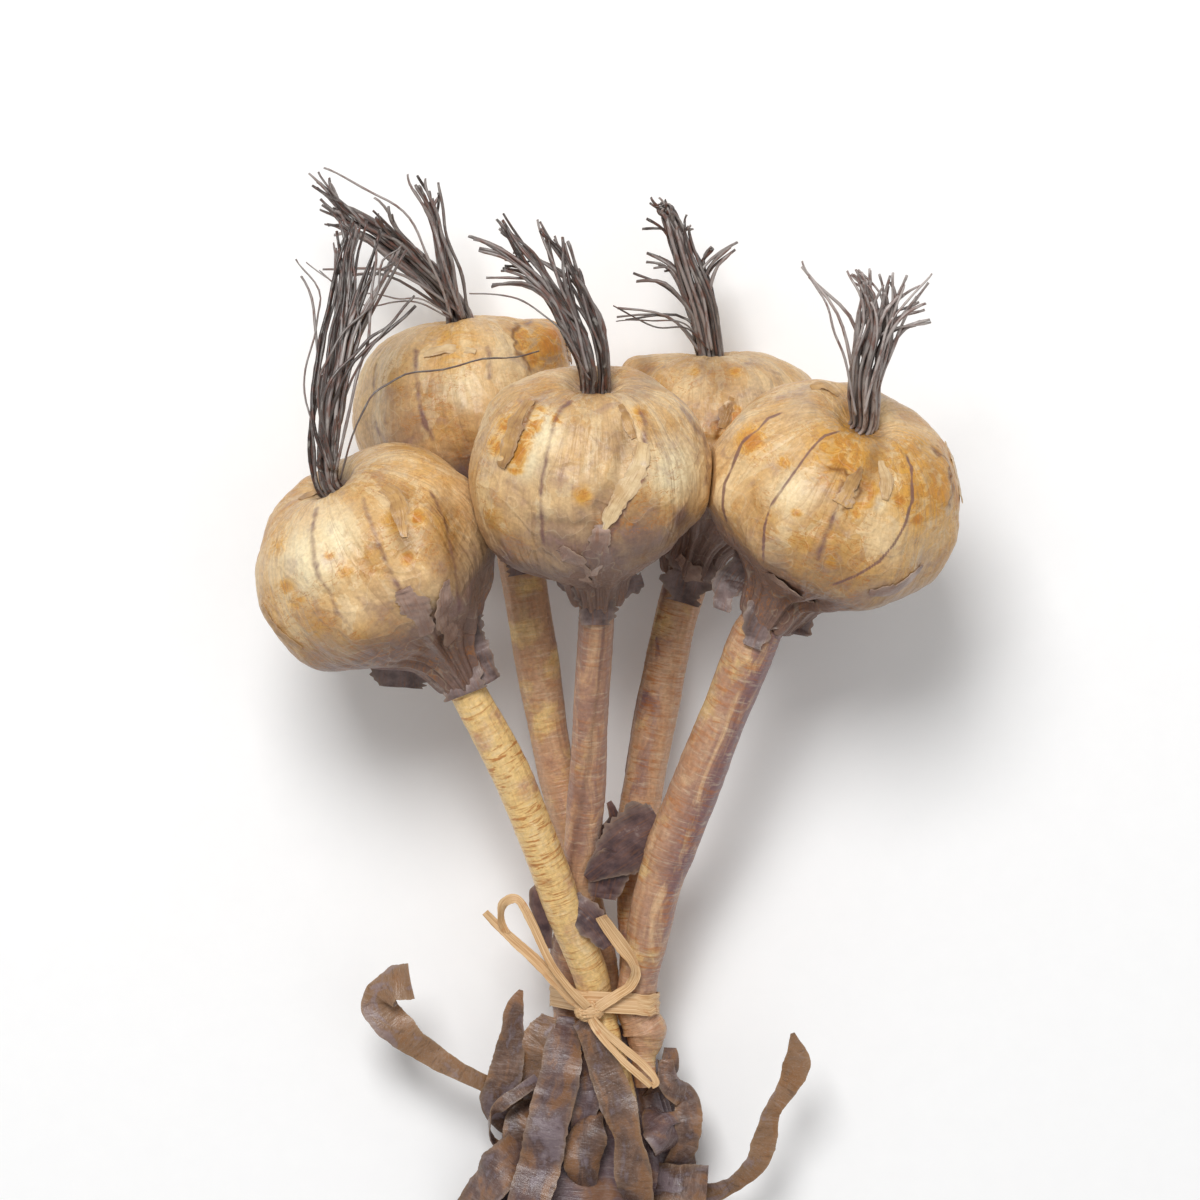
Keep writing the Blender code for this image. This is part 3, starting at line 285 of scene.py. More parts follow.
FANS = {
    1: ((0, 0.90, (-60.5, 195.5, 72.0), 3.0, 12), (0, 0.85, (-63.4, 189.6, 70.0), 2.5, 8),
        (0, 0.55, (-51.4, 187.5, 76.0), 2.6, 6), (0, 0.60, (-53.5, 193.2, 77.0), 0.8, 2),
        (0, 0.55, (-48.0, 188.2, 79.0), 0.8, 2), (0, 0.40, (-45.0, 174.8, 83.0), 0.8, 2),
        (0, 0.70, (-74.1, 184.2, 70.0), 0.8, 1)),
    2: ((1, 0.85, (-48.1, 207.4, 41.0), 1.5, 5), (1, 0.85, (-42.6, 205.0, 38.0), 1.6, 6),
        (0, 0.90, (-70.6, 206.4, 42.0), 2.4, 10), (0, 0.90, (-69.4, 200.8, 38.0), 2.6, 9),
        (0, 0.80, (-69.8, 194.6, 36.0), 1.6, 4), (0, 0.60, (-55.6, 200.4, 44.0), 1.8, 6),
        (0, 0.30, (-72.0, 186.0, 36.0), 0.8, 2)),
    3: ((0, 0.80, (-24.7, 191.2, 99.0), 1.6, 8), (0, 0.75, (-31.6, 187.2, 98.0), 1.2, 5),
        (0, 0.55, (-30.4, 178.8, 95.0), 0.8, 3), (0, 0.75, (-24.4, 182.6, 94.0), 2.6, 9),
        (0, 0.65, (-14.6, 190.8, 102.0), 1.2, 5), (0, 0.60, (-10.8, 187.2, 101.0), 1.6, 6),
        (0, 0.50, (-7.6, 181.8, 101.0), 1.6, 5)),
    4: ((0, 0.95, (13.4, 201.4, 38.0), 1.6, 9), (0, 0.95, (16.4, 200.4, 39.0), 1.6, 7),
        (0, 0.75, (9.8, 196.2, 36.0), 0.8, 2), (0, 0.60, (12.8, 187.2, 33.0), 2.2, 7),
        (0, 0.45, (6.4, 184.0, 34.0), 0.8, 2), (0, 0.25, (2.8, 174.6, 33.0), 1.6, 3),
        (0, 0.80, (21.0, 196.6, 40.0), 1.4, 5), (0, 0.60, (27.6, 190.8, 36.0), 0.8, 2),
        (0, 0.50, (33.4, 191.0, 35.0), 0.8, 4)),
    5: ((0, 0.55, (47.2, 181.6, 95.0), 0.8, 2), (0, 0.90, (57.8, 180.4, 101.0), 2.0, 8),
        (0, 0.90, (61.9, 178.4, 103.5), 2.0, 8), (0, 0.90, (68.6, 176.4, 103.0), 2.4, 9),
        (0, 0.80, (77.2, 178.6, 99.0), 0.8, 2), (0, 0.80, (75.6, 172.4, 99.0), 1.6, 4),
        (0, 0.75, (77.0, 166.8, 96.0), 1.4, 4), (0, 0.90, (65.6, 173.6, 102.0), 2.4, 5)),
}
TUFT_RADIUS = 3.5
ROOT_RADIUS = (0.36, 0.60)
ROOT_TONES = {1: (0.0, 1.0), 2: (0.0, 0.9), 3: (0.0, 0.7), 4: (0.0, 0.9), 5: (0.55, 1.4)}
ROOT_STATIONS = 26
ROOT_SIDES = 7
HELD_STATIONS = 5           # places on a root's route while its bundle holds it
BUNDLE_FILL = 0.95
FAN_SPREAD = 1.25
ROOT_ONWARD = 0.20          # how a root turns from its bundle to its end, as shares of the way
ROOT_TURNS = 0.32
ROOT_REACH = (0.80, 1.0)
ROOT_FACING = (0.13, 0.21, 1.0)
ROOT_BEND = 0.38
ROOT_BEND_PITCH = 17.0
ROOT_LOOSE = 0.625          # the share of a root's length from which it bends freely
ROOT_TAPER = 0.3
ROOT_UNEVEN = 0.07
ROOT_UNEVEN_PITCH = 5.0
ROOTS_APART = 9.0           # keep the bends, and the grain, of one root unlike those of the next
GRAINS_APART = 5.0

# Single long roots that stray from their tufts: where the photograph's frame shows them, with their
# height above the floor, and their radius.
LONE_ROOTS = {
    1: ((((340, 480, 78), (362, 412, 86), (400, 377, 84), (480, 362, 74), (540, 351, 66)), 0.26),
        (((334, 470, 80), (322, 400, 84), (355, 352, 84), (388, 325, 83), (416, 297, 82)), 0.42),
        (((332, 470, 80), (318, 398, 83), (332, 350, 83), (368, 308, 82), (386, 262, 81),
          (403, 243, 80)), 0.34),
        (((330, 468, 80), (306, 400, 82), (310, 350, 81), (322, 300, 80), (296, 259, 79)), 0.26),
        (((336, 470, 80), (352, 400, 84), (366, 340, 82), (372, 290, 80), (378, 240, 78)), 0.42),
        (((334, 470, 80), (344, 400, 84), (356, 340, 82), (362, 290, 80), (394, 262, 78)), 0.36),
        (((330, 470, 79), (312, 420, 82), (316, 360, 80), (330, 300, 78), (346, 232, 76)), 0.48),
        (((331, 470, 79), (322, 420, 83), (328, 360, 82), (340, 300, 80), (352, 226, 78)), 0.45)),
    2: ((((452, 316, 36), (422, 300, 38), (392, 296, 39), (352, 290, 40), (306, 262, 40)), 0.22),
        (((450, 318, 36), (424, 306, 37), (392, 300, 37), (360, 302, 38), (318, 272, 38)), 0.22),
        (((462, 318, 36), (446, 270, 40), (430, 220, 42), (408, 174, 44)), 0.46),
        (((464, 318, 36), (452, 270, 40), (440, 220, 42), (426, 178, 43)), 0.46),
        (((452, 318, 36), (430, 262, 42), (392, 202, 44), (324, 168, 44)), 0.34)),
    3: ((((590, 380, 96), (560, 330, 99), (520, 300, 98), (470, 293, 96)), 0.24),
        (((588, 372, 97), (572, 310, 101), (552, 262, 102), (538, 219, 102)), 0.40)),
    4: ((((708, 350, 34), (690, 330, 36), (655, 326, 36), (613, 306, 36)), 0.24),
        (((708, 350, 34), (686, 326, 36), (650, 318, 37), (616, 322, 37)), 0.22),
        (((712, 350, 34), (700, 290, 37), (684, 240, 38), (658, 198, 39)), 0.42)),
    5: ((((856, 415, 92), (842, 350, 99), (824, 300, 100), (802, 261, 100)), 0.32),
        (((864, 415, 92), (880, 350, 100), (902, 310, 101), (930, 272, 101)), 0.34)),
}

# The mass of dry leaves under the ribbons: distance below the tie, middle x, half width, half height.
LEAF_CORE = (
    (-7.4, 0.0, 9.0, 3.6), (-15.0, -1.5, 14.5, 7.4), (-28.0, -3.0, 20.0, 8.6), (-45.0, -2.0, 24.0, 8.8),
    (-65.0, -1.0, 25.0, 8.8), (-84.0, 0.0, 21.0, 7.6), (-96.0, 1.0, 14.0, 5.0),
)
LEAF_CORE_REACH = 7.8       # the height of its middle off the floor
LEAF_CORE_RISE = 3.4        # how much higher that is at the tie, and where it starts to rise
LEAF_CORE_RISES = (0.2, 0.0)
CORE_FACES = (120, 120)
CORE_OVERRUN = 0.05         # how far past its first and last rows the mass is drawn, as a share
CORE_ENDS = 3.0             # how blunt its two ends are
CORE_ROUND = 9.0            # its folds are measured round this radius and along this length
CORE_ALONG = 7.0
CORE_FOLD_PITCH = 3.4
CORE_FOLDS = 0.9
CORE_HALF_WIDTH = 12.0

# Dried leaf ribbons: route, widths along it, the way the face looks, crinkle depth, how far the
# ribbon is rolled across, in degrees.
RIBBONS = {
    "left curl": (((-48.1, 5.8, 33), (-53.5, 4.5, 30.5), (-56.4, -0.8, 28), (-51.1, -7.4, 27),
                   (-45.1, -12.3, 26), (-35.3, -18.3, 24), (-24.7, -23.7, 18), (-15.0, -27.0, 11)),
                  (8, 8, 8, 7.5, 6, 4, 4, 4), (-0.3, 0.2, 1), 0.15, 15),
    "pointed blade": (((-20.5, 2.7, 24), (-22.3, -2.4, 24), (-23.1, -11.3, 23), (-24.6, -19.1, 22),
                       (-26.3, -26.9, 19), (-20.0, -34.0, 11)),
                      (1, 4.5, 6.5, 7.5, 8, 7), (0.3, 0, 1), 0.15, 10),
    "edge-on twist": (((-13.5, -18.7, 18), (-20.0, -22.6, 23), (-25.9, -26.7, 24), (-28.6, -31.0, 22),
                       (-27.2, -37.1, 17), (-20.0, -42.0, 10)),
                      (3, 3, 3, 3, 3, 4), (0.7, 0.5, 0.5), 0.1, 0),
    "folded ribbon": (((-13.5, -4.4, 20.4), (-15.0, -7.0, 22), (-17.5, -11.5, 22), (-18.3, -17, 19.5),
                       (-19.5, -25, 16), (-14.0, -31.0, 10)),
                      (3.5, 5.5, 6.5, 6.5, 7, 7), (-0.2, 0.2, 1), 0.3, 0),
    "broad ribbon": (((-9.2, -4.4, 20.6), (-9.9, -11.3, 24), (-10.6, -18.4, 26), (-12.7, -26.6, 24),
                      (-14.4, -34.5, 26), (-15.7, -41.7, 23), (-18.5, -50.3, 25), (-20.0, -61.0, 21),
                      (-21.5, -72.0, 17), (-20.0, -84.0, 12)),
                     (3.4, 8, 9, 9.5, 9.5, 9.5, 9.5, 9, 8.5, 7), (0, 0, 1), 0.25, 12.5),
    "sheath": (((-5.0, -13.5, 17), (-4.4, -19.0, 20.5), (-3.4, -24.0, 21.5), (-5.0, -31.0, 19),
                (-6.0, -37.0, 12)),
               (3, 5, 6, 5, 4), (0.2, 0, 1), 0.15, 0),
    "rolled leaf": (((-0.9, -28.6, 19), (-3.4, -31.9, 21.5), (-4.4, -37.6, 22.5), (-4.6, -44.2, 21),
                     (-4.3, -51, 13)),
                    (2.5, 8, 10, 8, 4), (-0.2, 0, 1), 0.1, 85),
    "stem sheath": (((-5.6, -4.6, 25.6), (-3.0, -8.3, 27.2), (0.1, -15.8, 27.4), (3.6, -24.6, 27.5),
                     (5.8, -32.0, 27.3), (7.4, -40.0, 26.8), (8.4, -48.0, 24.0), (9.4, -56.0, 14.0)),
                    (4, 6, 7, 8, 8, 8.5, 8, 7), (-0.35, 0, 1), 0.1, 10),
    "stub leaf": (((17.4, -12.6, 17.5), (17.2, -17.0, 18), (15.0, -23.0, 14), (11.0, -28.0, 10)),
                  (3, 4.5, 5, 5), (0.5, 0, 1), 0.2, 10),
    "zig-zag": (((16.4, -15.5, 19), (17.0, -21.1, 22.5), (21.4, -25.6, 19), (22.0, -31.8, 21),
                 (20.9, -38.4, 18), (17.0, -46, 11)),
                (3, 5, 6, 6, 5.5, 5), (0.2, 0.2, 1), 0.2, 10),
    "curled lump": (((13.4, -28.2, 15), (14.2, -29.8, 21.5), (15.8, -32.8, 24.6), (17.6, -36.8, 21),
                     (17.4, -40.6, 11)),
                    (4, 8, 9.5, 9, 6), (0.2, 0, 1), 0.1, 47.5),
    "end flap": (((13.0, -47.0, 14), (20.5, -47.0, 19.5), (26.8, -47.2, 18.5)),
                 (8, 8.5, 8.5), (0, 0, 1), 0.3, 0),
    "far blade": (((48.0, -7.6, 30), (49.2, -15, 29), (46.8, -21.8, 27), (43, -28, 26),
                   (41.3, -35.3, 24), (39.3, -41.3, 22.5), (34.0, -47.0, 18), (26, -51, 12),
                   (16, -53, 8)),
                  (1, 6, 4.5, 4, 5.5, 5, 4, 5, 5), (0.2, 0, 1), 0.15, 7.5),
    "lower left leaf": (((-14, -33, 11), (-21.5, -38.5, 18.5), (-27, -44.5, 21), (-31, -52, 18),
                         (-30, -61, 11), (-20, -71, 7)),
                        (6, 8.5, 10, 10, 9, 8), (-0.3, 0, 1), 0.25, 12.5),
    "leaf behind": (((-20, -42, 9), (-30, -50, 8), (-34, -59, 6), (-27, -71, 5)),
                    (7, 8, 8, 7), (-0.3, 0, 1), 0.25, 10),
    "short segment": (((-13, -27, 13), (-20, -30.5, 18), (-21, -36, 17.5), (-16, -42, 12)),
                      (6, 7, 7, 6), (-0.1, 0.1, 1), 0.2, 0),
    "middle end": (((-7, -50, 14), (-8.5, -59, 20), (-8, -71, 19), (-10, -85, 14), (-12, -101, 8)),
                   (7, 9, 9.5, 9, 4), (0, 0, 1), 0.3, 15),
    "right end": (((3, -58, 14), (3, -66, 18.5), (5, -78, 17), (3, -93, 12), (4, -107, 6)),
                  (7, 9, 9.5, 8, 3), (0.1, 0, 1), 0.3, 15),
    "outer right end": (((12, -50, 14), (16, -59, 19), (18, -71, 16), (21, -85, 11), (25, -99, 6)),
                        (6, 8.5, 9, 8, 3), (0.2, 0, 1), 0.3, 15),
    "right wing": (((19, -52, 10), (28, -61, 13), (33, -73, 10), (34, -88, 5)),
                   (6, 8, 8, 3), (0.4, 0, 1), 0.25, 15),
    "left wing": (((-15, -62, 10), (-25, -74, 13), (-30, -88, 9), (-34, -101, 4)),
                  (6, 8, 8, 3), (-0.4, 0, 1), 0.25, 15),
    "tail one": (((0, -80, 12), (-4, -91, 13), (-3, -104, 8), (0, -112, 4)),
                 (6, 7, 7, 2), (0, 0, 1), 0.25, 12.5),
    "tail two": (((11, -76, 12), (13, -90, 11), (17, -105, 5)),
                 (6, 7.5, 3), (0.1, 0, 1), 0.25, 12.5),
    "under left": (((-10, -13, 7), (-16, -26, 5), (-21, -40, 3), (-25, -55, 2)),
                   (5, 7, 7, 4), (-0.5, 0, 1), 0.2, 10),
    "under right": (((8, -12, 8), (14, -22, 7), (19, -34, 5), (23, -49, 2.5)),
                    (5, 7, 7, 4), (0.5, 0, 1), 0.2, 10),
    "under left end": (((-6, -86, 6), (-16, -97, 4), (-21, -109, 2)),
                       (6, 7, 3), (-0.1, 0, 1), 0.15, 7.5),
    "under right end": (((10, -84, 6), (23, -96, 4), (30, -107, 2)),
                        (6, 6, 3), (0.1, 0, 1), 0.15, 7.5),
}
# How brown or mauve some of the ribbons are: low is mauve, high is tan. The broad ribbon's mauve
# is partly painted sheen.
LEAF_TINTS = {
    "left curl": 0.95, "far blade": 1.0, "pointed blade": 0.60, "edge-on twist": 0.45,
    "folded ribbon": 0.80, "broad ribbon": 0.22, "sheath": 0.10, "rolled leaf": 0.45,
    "stem sheath": 0.62, "stub leaf": 0.35, "zig-zag": 0.55, "curled lump": 0.12, "end flap": 0.50,
    "lower left leaf": 0.30, "short segment": 0.50,
}

# The raffia: the band round the stems, the knot over them, and the ends and loops of the bow, each a
# route and its widths.
BAND_WIDTH = 5.3
BAND_THICKNESS = 0.22
BAND_REACH = 0.6            # how far to each side the band feels the stems, in its own widths
BAND_FACES = (120, 10)
BAND_CLEARANCE = 0.45
BAND_SLOPE = -0.045
BAND_GIRTH = 80.0
BAND_RING = 0.8             # half the width of the band, measured round a ring of radius one
# The band's wrinkles and its wandering edges: stretch round and across, pitch and height.
BAND_WRINKLES = ((2.0, 2.0, 3.0), 1.4, 0.09)
BAND_WANDER = ((3.0, 3.0, 0.5), 2.0, 0.16)
BAND_RIM_SHARPNESS = 3
KNOT_MIDDLE = (-3.2, -2.2, 29.3)
KNOT_SIZE = (7.4, 5.4, 3.0)
KNOT_FACES = (48, 32)
KNOT_RIDGES = ((1.0, 4.0, 4.0), 0.5, 0.14)
KNOT_FIBRES = 7.0
BOW = {
    "left end": (((-3.2, -1.6, 30.2), (-6.8, 0.4, 30.6), (-11.6, 5.6, 31.5), (-16.6, 10.9, 32.5),
                  (-24.2, 17.9, 34), (-29.4, 23.2, 35)), (3.2, 3.2, 3.4, 3.2, 2.6, 2.2)),
    "left loop": (((-3.6, -1.0, 31.0), (-8.5, 4.2, 33.2), (-13.1, 10.8, 35), (-17.3, 20.1, 37),
                   (-21.0, 26.6, 38.4), (-24.6, 25.6, 37.6), (-25.4, 21.6, 35.6), (-24.0, 17.9, 34)),
                  (2.4, 2.4, 2.4, 2.6, 2.4, 3.0, 2.6, 2.2)),
    "right end": (((-1.0, -1.2, 30.4), (3.6, 1.9, 30.9), (7.0, 4.4, 32.2), (8.4, 7.6, 33.6),
                   (7.6, 11.0, 35.0), (4.2, 15.8, 36.8), (-0.3, 22.4, 38.8)),
                  (3.2, 3.2, 3.2, 3.0, 3.4, 4.0, 4.3)),
    "lower loop outer": (((-2.6, -3.4, 30.2), (0.0, -6.4, 30.8), (5.2, -11.0, 31.2), (11.0, -16.0, 31.5),
                          (13.6, -19.6, 31.5), (12.4, -20.8, 31.5)), (2.2, 2.2, 2.4, 2.2, 2, 2)),
    "lower loop inner": (((-3.0, -3.8, 30.2), (-1.0, -7.4, 30.8), (5.0, -14.2, 31.2),
                          (12.4, -20.8, 31.5)), (2.0, 2.0, 2.0, 2.0)),
}

# Marks on the front of the heads, in the photograph's frame. Veins: route, width in millimetres,
# strength. Creases: route, width and depth in millimetres. Torn layers: the edge of a layer that has
# come away, its depth. Swells: place, radius in photograph pixels, height. Stains: place,
# radius in photograph pixels, shares of orange, of mauve, which is partly painted shade, and of
# cream, which is partly painted highlight.
MARKS = {
    1: dict(
        swells=((316, 492, 12, 0.9), (470, 600, 26, 0.8)),
        veins=((((320, 500), (314, 516), (312, 537), (315, 559), (320, 578), (328, 591), (336, 610),
                 (347, 623), (356, 632)), 1.4, 0.50),
               (((363, 491), (365, 507), (371, 523), (378, 541), (386, 562), (397, 584), (406, 600),
                 (416, 616), (428, 635)), 1.4, 0.50),
               (((426, 487), (436, 501), (447, 523), (453, 544), (457, 566), (457, 591), (457, 618)),
                0.9, 0.60)),
        creases=((((404, 482), (402, 500), (399, 512), (404, 530), (407, 544), (410, 562)), 2.4, 1.1),
                 (((436, 486), (452, 520), (460, 560), (462, 610)), 3.2, 0.7),
                 (((476, 470), (484, 510), (482, 570), (472, 620)), 2.6, 0.6)),
        torn=(),
        stains=((329, 555, 4, 0.8, 0, 0), (416, 518, 9, 0.9, 0, 0), (408, 558, 7, 0.9, 0.1, 0),
                (285, 587, 9, 0.6, 0, 0), (297, 600, 8, 0.6, 0, 0), (276, 545, 12, 0.4, 0, 0),
                (315, 626, 14, 0.4, 0.2, 0), (345, 571, 9, 0.5, 0, 0), (395, 520, 12, 0.6, 0.2, 0),
                (310, 560, 38, 0, 0, 0.8), (335, 535, 30, 0, 0, 0.7), (430, 460, 36, 0.25, 0, 0),
                (452, 560, 40, 0, 0.35, 0), (400, 630, 46, 0, 0.40, 0), (458, 640, 30, 0, 0.8, 0),
                (340, 630, 34, 0, 0.30, 0)),
    ),
    2: dict(
        swells=((375, 375, 24, 0.6), (552, 336, 22, 3.6), (470, 318, 18, 0.8)),
        veins=((((417, 345), (416, 370), (418, 400), (426, 425), (436, 445)), 1.4, 0.62),
               (((487, 345), (490, 360), (490, 382)), 1.6, 0.5),
               (((380, 360), (374, 385), (374, 415), (382, 440)), 1.2, 0.4)),
        creases=(),
        torn=((((522, 322), (512, 334), (516, 350), (524, 362), (536, 372)), 0.35),),
        stains=((527, 325, 4, 0.3, 1.0, 0), (548, 347, 24, 0, 0.75, 0), (548, 345, 22, 0.7, 0, 0),
                (574, 368, 5, 0, 0.9, 0), (450, 345, 30, 0.35, 0, 0), (430, 400, 40, 0, 0.35, 0),
                (400, 440, 40, 0, 0.5, 0), (460, 385, 26, 0, 0, 0.6)),
    ),
    3: dict(
        swells=((548, 440, 30, 0.5),),
        veins=((((577, 395), (563, 409), (556, 422), (551, 438), (548, 454), (542, 481), (541, 507),
                 (542, 534), (544, 552)), 1.2, 0.55),
               (((636, 405), (645, 422), (645, 450), (640, 479), (630, 495), (621, 514), (612, 530),
                 (607, 546)), 1.7, 0.60),
               (((675, 405), (691, 422), (704, 438), (708, 462), (704, 491)), 1.6, 0.5)),
        creases=((((694, 511), (682, 530), (665, 546), (645, 558), (624, 569)), 2.2, 0.8),
                 (((516, 520), (546, 522), (575, 526), (600, 524)), 1.2, 0.35),
                 (((622, 413), (627, 440), (618, 470), (604, 500), (596, 520)), 1.8, 0.6)),
        torn=((((540, 399), (532, 407), (526, 422), (520, 436), (514, 448), (509, 462), (502, 470)),
               0.45),),
        stains=((508, 426, 9, 0.9, 0.1, 0), (498, 446, 9, 0.8, 0.1, 0), (557, 420, 6, 0.8, 0, 0),
                (583, 495, 9, 0.6, 0, 0), (640, 414, 8, 0.6, 0, 0), (509, 452, 6, 0.9, 0.2, 0),
                (540, 430, 26, 0, 0, 0.9), (530, 460, 24, 0, 0, 0.6), (672, 470, 30, 0, 0, 0.9),
                (615, 445, 22, 0.1, 0.45, 0), (560, 545, 40, 0, 0.7, 0), (640, 545, 44, 0, 0.8, 0),
                (682, 520, 14, 0, 0.9, 0), (590, 382, 30, 0, 0.5, 0), (640, 388, 30, 0, 0.35, 0),
                (590, 470, 130, 0, 0.23, 0), (600, 565, 60, 0, 0.9, 0)),
    ),
    4: dict(
        swells=((630, 362, 22, 5.4), (650, 352, 16, 1.2), (806, 392, 30, 2.0), (768, 376, 24, 1.0)),
        veins=((((742, 362), (760, 372), (780, 380)), 1.2, 0.4),
               (((668, 356), (664, 372), (668, 392)), 1.2, 0.3)),
        creases=((((646, 352), (650, 366), (646, 380)), 2.0, 0.8),
                 (((700, 356), (716, 372), (728, 392)), 3.0, 0.5)),
        torn=((((735, 400), (726, 412), (720, 428), (714, 442)), 0.5),),
        stains=((632, 362, 16, 0.5, 0, 0), (694, 372, 5, 0.6, 0.3, 0), (735, 372, 5, 0.7, 0.3, 0),
                (722, 420, 8, 0, 0.9, 0), (690, 385, 26, 0, 0, 0.4), (770, 385, 26, 0, 0.3, 0),
                (690, 560, 40, 0, 1.0, 0), (740, 400, 90, 0, 0.30, 0)),
    ),
    5: dict(
        swells=((818, 392, 14, 1.0), (940, 470, 26, 0.8)),
        veins=((((788, 411), (768, 418), (758, 429), (742, 444), (734, 461), (725, 483), (724, 505),
                 (728, 530)), 0.50, 1.0),
               (((847, 429), (825, 437), (810, 450), (799, 465), (781, 492), (771, 507), (765, 526),
                 (764, 548), (764, 570)), 0.50, 1.0),
               (((844, 474), (838, 500), (831, 522), (820, 548), (818, 563)), 1.6, 0.5),
               (((903, 452), (910, 468), (912, 500), (907, 522), (894, 544), (879, 561), (855, 576),
                 (820, 591)), 0.50, 1.0)),
        creases=((((879, 435), (877, 450), (875, 463), (864, 483), (855, 500)), 2.2, 0.9),
                 (((915, 440), (930, 462), (936, 490)), 2.0, 0.4)),
        torn=((((822, 466), (844, 472), (862, 492), (838, 515)), 0.3),
              (((926, 444), (944, 462), (950, 490), (948, 512)), 0.4)),
        stains=((753, 442, 15, 0.8, 0, 0), (784, 461, 8, 0.6, 0, 0), (797, 513, 5, 0.7, 0, 0),
                (900, 500, 8, 0.9, 0, 0), (918, 519, 7, 0.9, 0, 0), (938, 509, 6, 0.6, 0, 0),
                (831, 561, 6, 0.6, 0, 0), (845, 450, 36, 0.6, 0, 0), (910, 450, 22, 0.5, 0, 0),
                (894, 483, 9, 0, 0, 1.0), (881, 505, 10, 0, 0, 0.9), (790, 490, 30, 0, 0, 0.5),
                (846, 490, 11, 0.2, 0.8, 0), (770, 575, 34, 0, 0.7, 0), (830, 590, 44, 0, 0.45, 0),
                (858, 418, 24, 0, 0.6, 0), (800, 408, 24, 0, 0.35, 0), (744, 420, 5, 0, 0.4, 0.5),
                (830, 500, 110, 0, 0.17, 0), (932, 488, 48, 0.55, 0, 0)),
    ),
}

# The sizes of the room and its lights, in metres. Each light: place, size, energy.
FLOOR_SIZE = 6.0
CAMERA_SEES = 10.0
ROOM_LIGHT = 0.40
LIGHTS = {"key": ((-0.20, 0.62, 1.25), 0.5, 13.8), "fill": ((0.5, -0.1, 1.3), 0.9, 1.5)}
LIT_MIDDLE = (0.0, 0.03, 0.05)

PATTERN_ROUGHNESS = 0.62    # how much of a pattern is in its finer parts
SPECKLE_FROM = 0.35         # the values between which the grain darkens and lightens a colour
SPECKLE_TO = 0.65
WELD_REACH = 0.001          # vertices nearer than this become one
RIPPLE_WAVES = 14           # the waves that an uneven field is made of, and how their sizes mix
RIPPLE_MIX = (0.6, 1.5)

# Where the random numbers of each uneven form start. The number of the head or strip is added.
SEEDS = dict(
    pleats=20, lumps=30, cloves=40, wrinkles=60, creases=80, folds=90, fine_creases=110,
    back_veins=300, ribs=500, stem_swells=520, stem_wrinkles=540, roots=170,
    leaves=100, skin_flake=400, torn_skin=600, peeled_sheath=700, bow=900,
    knot_ridges=3, core_folds=5, band_wrinkles=8, band_wander=9,
)
STRIP_SEEDS = 20            # the steps from one head's strips to the next, and between ribbons
LEAF_SEEDS = 9
BOW_SEEDS = 10


def unit(vector):
    vector = np.asarray(vector, float)
    return vector / np.linalg.norm(vector, axis=-1, keepdims=True)


def ramp(value, start, full):
    """How far a value has come from a start to where it is full, from 0 to 1, eased at both ends."""
    share = np.clip((value - start) / (full - start), 0.0, 1.0)
    return share * share * (3.0 - 2.0 * share)


def fade_ends(along, reach):
    """Fades a mark out over a reach at both ends of its route."""
    return ramp(np.minimum(along, 1.0 - along), 0.0, reach)


def on_curve(points, shares):
    """A smooth curve through the points, read at shares of the way from the first to the last."""
    points = np.asarray(points, float)
    reach = np.clip(shares, 0.0, 1.0) * (len(points) - 1)
    index = np.minimum(reach.astype(int), len(points) - 2)
    part = (reach - index)[..., None]
    before = points[np.maximum(index - 1, 0)]
    start = points[index]
    end = points[index + 1]
    after = points[np.minimum(index + 2, len(points) - 1)]
    bend = (end - before) * part
    curve = (before * 2.0 - start * 5.0 + end * 4.0 - after) * part ** 2
    twist = (start * 3.0 - before - end * 3.0 + after) * part ** 3
    return (start * 2.0 + bend + curve + twist) * 0.5


def ripples(points, pitch, seed):
    """A smooth uneven field about zero, whose bumps are about a pitch apart."""
    draw = np.random.default_rng(seed)
    size = points.shape[-1]
    field = np.zeros(points.shape[:-1])
    for _ in range(RIPPLE_WAVES):
        way = unit(draw.normal(size=size)) * math.tau / pitch * draw.uniform(*RIPPLE_MIX)
        field += np.sin(points @ way + draw.uniform(0.0, math.tau))
    return field / math.sqrt(RIPPLE_WAVES / 2.0)


def pinched(points, pitch, widest, seed):
    """Sharp creases about a pitch apart: zero along them, and rising to a widest value beside them."""
    return np.minimum(np.abs(ripples(points, pitch, seed)), widest)


def around(angle, radius, onward):
    """Places on a pipe of some radius, for a pattern that goes round it without a seam."""
    return np.stack((np.cos(angle) * radius, np.sin(angle) * radius, onward), axis=1)


def seen_at(points):
    """Where the photograph's frame shows points that are in millimetres from the tie."""
    depth = CAMERA[2] - points[..., 2]
    across = PHOTO / 2.0 + (points[..., 0] - CAMERA[0]) * FOCAL / depth
    down = PHOTO / 2.0 - (points[..., 1] - CAMERA[1]) * FOCAL / depth
    return np.stack((across, down), axis=-1)


def placed(route):
    """Points in millimetres from the tie, from where the frame shows them and their heights."""
    across, below, height = np.array(route, float).T
    depth = CAMERA[2] - height
    x = CAMERA[0] + (across - PHOTO / 2.0) * depth / FOCAL
    y = CAMERA[1] - (below - PHOTO / 2.0) * depth / FOCAL
    return np.stack((x, y, height), axis=1)


def line_field(seen, route):
    """For each seen point the distance to a route, the share along it, and the side it is on."""
    route = np.asarray(route, float)
    best = np.full(len(seen), np.inf)
    along = np.zeros(len(seen))
    side = np.ones(len(seen))
    for index, (start, end) in enumerate(zip(route, route[1:])):
        way = end - start
        share = np.clip((seen - start) @ way / (way @ way), 0.0, 1.0)
        off = seen - start - share[:, None] * way
        distance = np.hypot(off[:, 0], off[:, 1])
        closer = distance < best
        best = np.where(closer, distance, best)
        along = np.where(closer, (index + share) / (len(route) - 1), along)
        turn = np.sign(way[0] * off[:, 1] - way[1] * off[:, 0])
        side = np.where(closer, turn, side)
    return best, along, side


